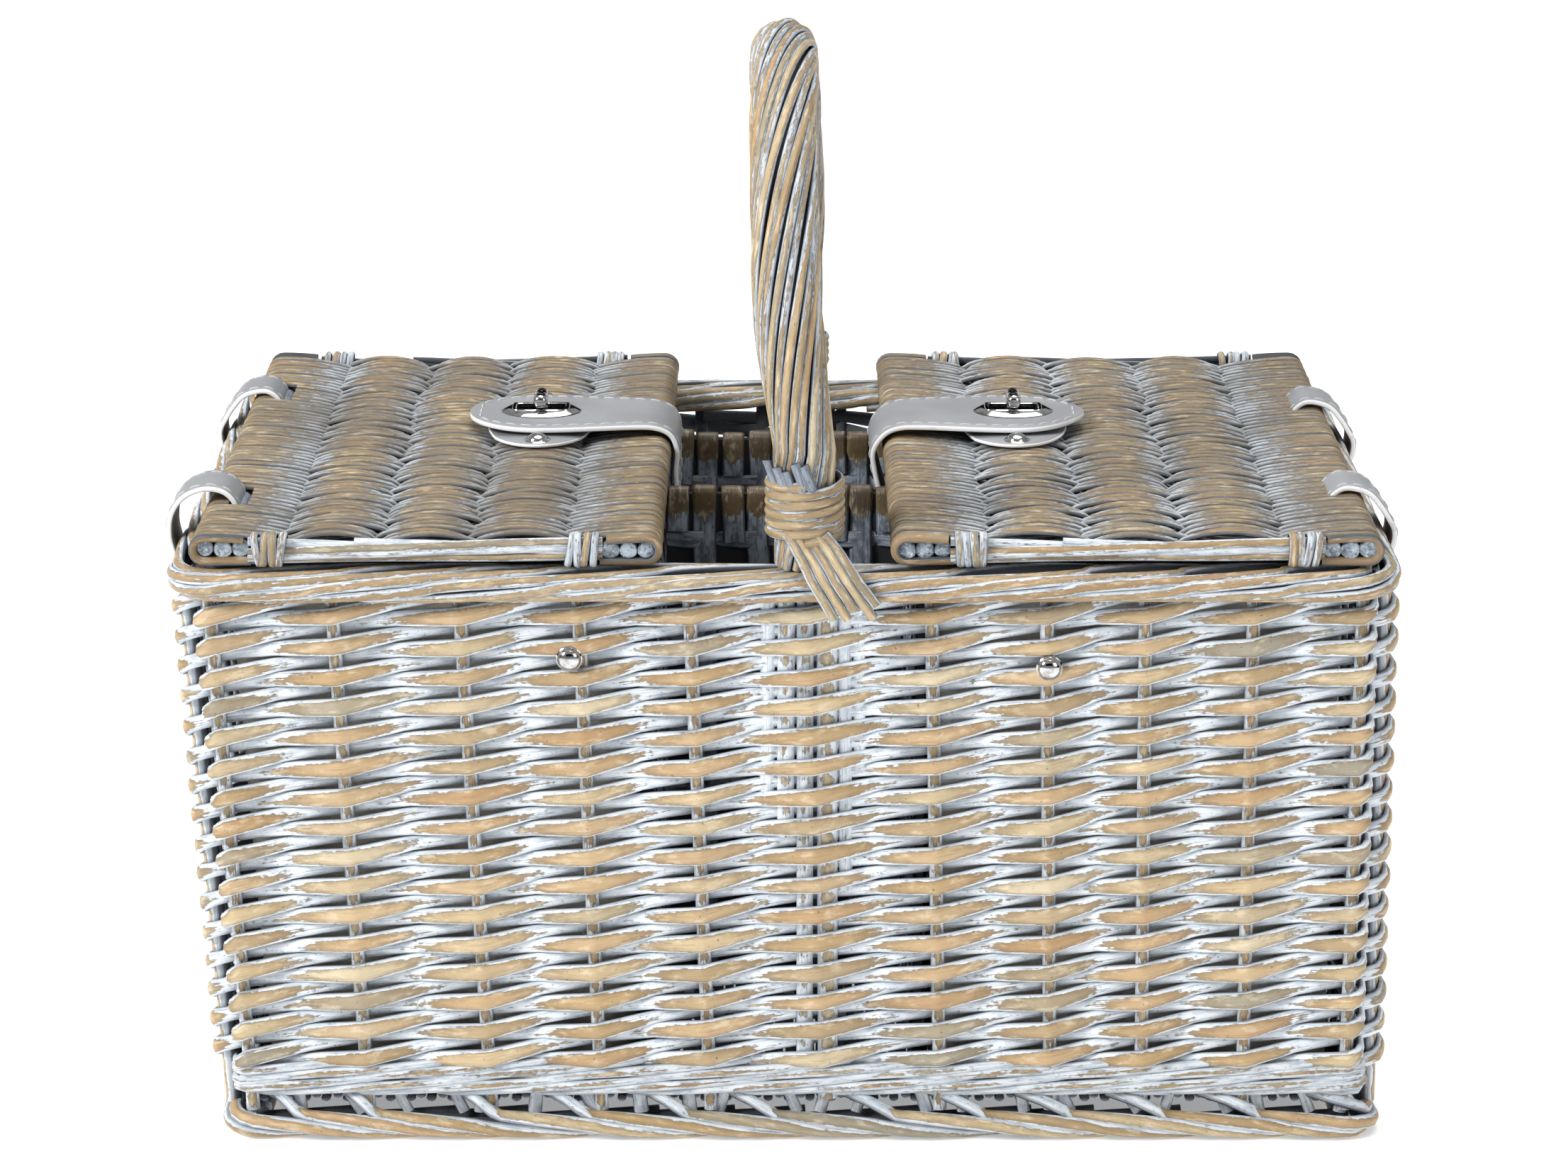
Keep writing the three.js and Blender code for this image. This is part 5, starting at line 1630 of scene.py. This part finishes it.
def build_base():
    """Woven bottom: thick sticks along the basket, with weavers over and under them."""
    random.seed(95)
    rods = Rods()
    height = 13.5
    middle, half_x, half_y = wall_plan(height)
    inset = 3.0
    left, right = middle - half_x + inset, middle + half_x - inset
    lines = np.linspace(inset - half_y + 6.0, half_y - 6.0 - inset, 11)
    for y in lines:
        places = [(x, y + 0.4 * math.sin(x / 23.0 + y), height) for x in np.linspace(left, right, 40)]
        rods.lay(places, (0, 0, 1), random.uniform(1.75, 2.0), -2.0, random.random())
    count = int((right - left) // 3.7)
    for number in range(count):
        x = left + 2.0 + (right - left - 4.0) * number / (count - 1)
        places, prouds = [], []
        for y in np.linspace(inset - half_y, half_y - inset, 89):
            wave = math.cos(math.pi * number + math.pi * (y - lines[0]) / (lines[1] - lines[0]))
            places.append((x + 0.3 * math.sin(y / 11.0 + x), y, height + 1.05 * wave))
            prouds.append(-1.4 - 0.8 * abs(wave))
        rods.lay(places, (0, 0, -1), random.uniform(1.6, 1.8), prouds, random.random())
    rod_piece("base_weave", rods, shaded_willow, ["base_panel"], 8, 0.75, 0.75)


# Flat stakes of the handle: distance from the leg along the wall, half width and height of the foot
HANDLE_STAKES = [
    (-12.4, 2.6, 128.0), (-6.2, 3.1, 112.0), (0.2, 3.0, 17.0), (7.6, 3.7, 12.0), (13.6, 2.4, 92.0),
    (18.4, 2.1, 138.0),
]


def build_bay():
    """The handle's flat stakes, which run down inside the front and rear walls."""
    random.seed(97)
    for sign, centre, name in ((-1, HANDLE_FRONT_X, "front"), (1, HANDLE_REAR_X, "rear")):
        rods = Rods()
        for offset, half, end in HANDLE_STAKES:
            tone = random.random()
            places, prouds = [], []
            for z in np.arange(205.0, end, -1.35):
                x = centre + offset * (1.0 + 0.06 * (200 - z) / 100)
                places.append((x, sign * (wall_plan(z)[2] - WEAVE_INSET - 0.2), z))
                prouds.append(-1.75 - 0.45 * row_wave(z))
            rods.lay(places, (0, sign, 0), half, prouds, tone)
        rod_piece(f"handle_stakes_{name}", rods, wall_willow, (), 10, 0.5, 0.5)


def cut_wood():
    """Cut ends of rods: grey-blue, with dark and pale specks."""
    material, nodes, shader = new_material("cut willow ends")
    speck = nodes.noise(nodes.position(), 900.0, 3.0, 0.65)
    blot = nodes.noise(nodes.position(), 330.0, 3.0, 0.6)
    colour = nodes.tinted(
        linear("6f7a86"),
        (blot, 0.38, 0.6, 1.0, "a6b3bd"),
        (speck, 0.56, 0.66, 0.85, "2e3238"),
        (speck, 0.42, 0.34, 0.7, "dfe6ea"),
    )
    plug(nodes, shader, Base_Color=colour, Roughness=0.7, Normal=nodes.bump(speck + blot, 0.0004, 0.7))
    return material


CUT_WOOD = cut_wood()


def cut_end(centre, direction, radius):
    """A slightly uneven cut end of a rod."""
    direction = unit(np.array(direction, float))
    side = unit(np.cross(direction, [0.3, 0.2, 1.0]))
    up = np.cross(side, direction)
    rings = []
    for along, size in ((-1.6, 0.97), (0.0, 1.0), (0.45, 0.9), (0.55, 0.5), (0.5, 0.05)):
        ring = []
        for turn in turns(18):
            rough = 1 + 0.035 * math.sin(3 * turn + centre[0]) + 0.02 * math.sin(5 * turn + centre[1])
            offset = side * math.cos(turn) + up * math.sin(turn)
            ring.append(np.array(centre) + direction * along + offset * radius * size * rough)
        rings.append(ring)
    return loft("end", rings, sharp=50)


build_walls()
build_wall_stakes()
build_bay()
build_wall_rivets()
build_rim()
build_foot()
build_waling()
build_base()
build_dividers()
build_lids()
for lid in LIDS.values():
    build_lining(lid)
    build_lid_lining(lid)
    build_lock(lid)
    for place, y in zip(("front", "rear"), lid["loops"]):
        build_loop(lid, place, y)
    for material_slot in bpy.data.objects[f"lock_post_{lid['name']}"].material_slots:
        material_slot.material = NICKEL
build_handle()


# Studio
def flat_sheets(name, quads, finish):
    """Flat sheets of the studio, each from its four corners in metres."""
    mesh = bpy.data.meshes.new(name)
    corners = [corner for quad in quads for corner in quad]
    mesh.from_pydata(corners, [], [tuple(range(4 * i, 4 * i + 4)) for i in range(len(quads))])
    mesh.materials.append(finish)
    return placed(name, mesh)


def softbox(name, place, target_height, size, power):
    """A square area light that looks at the middle of the basket at a height."""
    light = bpy.data.lights.new(name, "AREA")
    light.shape = "RECTANGLE"
    light.size = size
    light.size_y = size
    light.energy = power
    lamp = placed(name, light)
    lamp.location = place
    lamp.rotation_euler = (Vector((0, 0, target_height)) - Vector(place)).to_track_quat("-Z", "Y").to_euler()


def build_studio():
    paper, nodes, shader = new_material("pale paper")
    grain = nodes.noise(nodes.position(), 3.0, 2.0)
    colour = nodes.mix(grain, linear("fbfbfb"), linear("f6f6f6"))
    plug(nodes, shader, Base_Color=colour, Roughness=0.9, Specular_IOR_Level=0.1,
         Emission_Color=(1.0, 1.0, 1.0, 1.0), Emission_Strength=0.3)
    reach = 12.0
    quad = [(-reach, -reach, 0), (reach, -reach, 0), (reach, reach, 0), (-reach, reach, 0)]
    floor = flat_sheets("studio floor", [quad], paper)

    felt, nodes, shader = new_material("black felt")
    plug(nodes, shader, Base_Color=linear("0c0b0a"), Roughness=1.0, Specular_IOR_Level=0.0)
    cards = flat_sheets("dark cards", [
        [(-1.1, -2.2, 1.7), (1.1, -2.2, 1.7), (1.1, -2.4, 0.75), (-1.1, -2.4, 0.75)],
        [(-2.6, 0.3, 0.0), (-2.6, -1.0, 0.0), (-2.6, -1.0, 0.7), (-2.6, 0.3, 0.7)],
        [(2.2, -1.2, 0.0), (2.2, 0.4, 0.0), (2.2, 0.4, 0.6), (2.2, -1.2, 0.6)],
        [(-1.0, 2.4, 0.55), (1.0, 2.4, 0.55), (1.0, 2.4, 1.15), (-1.0, 2.4, 1.15)],
    ], felt)
    cards.visible_camera = False

    world = bpy.data.worlds.new("studio light")
    world.use_nodes = True
    background = world.node_tree.nodes["Background"]
    background.inputs["Color"].default_value = (1.0, 1.0, 1.0, 1.0)
    background.inputs["Strength"].default_value = 0.35
    bpy.context.scene.world = world

    softbox("key light", (-2.2, -1.3, 1.9), 0.12, 1.0, 88.0)
    softbox("fill light", (1.8, -1.6, 1.2), 0.12, 1.2, 10.0)
    softbox("top light", (0.2, 0.3, 2.4), 0.2, 2.0, 48.0)


def build_camera():
    camera = bpy.data.cameras.new("photograph")
    camera.lens = 93.8
    camera.sensor_width = 36.0
    camera.clip_start = 0.1
    camera.clip_end = 50.0
    holder = placed("photograph", camera)
    holder.location = (0.0, -1.4235, 0.6424)
    holder.rotation_euler = Vector((0.0, 0.9483, -0.3173)).to_track_quat("-Z", "Y").to_euler()
    bpy.context.scene.camera = holder


build_studio()
build_camera()
bpy.context.scene.view_settings.view_transform = "Standard"

bpy.context.view_layer.update()
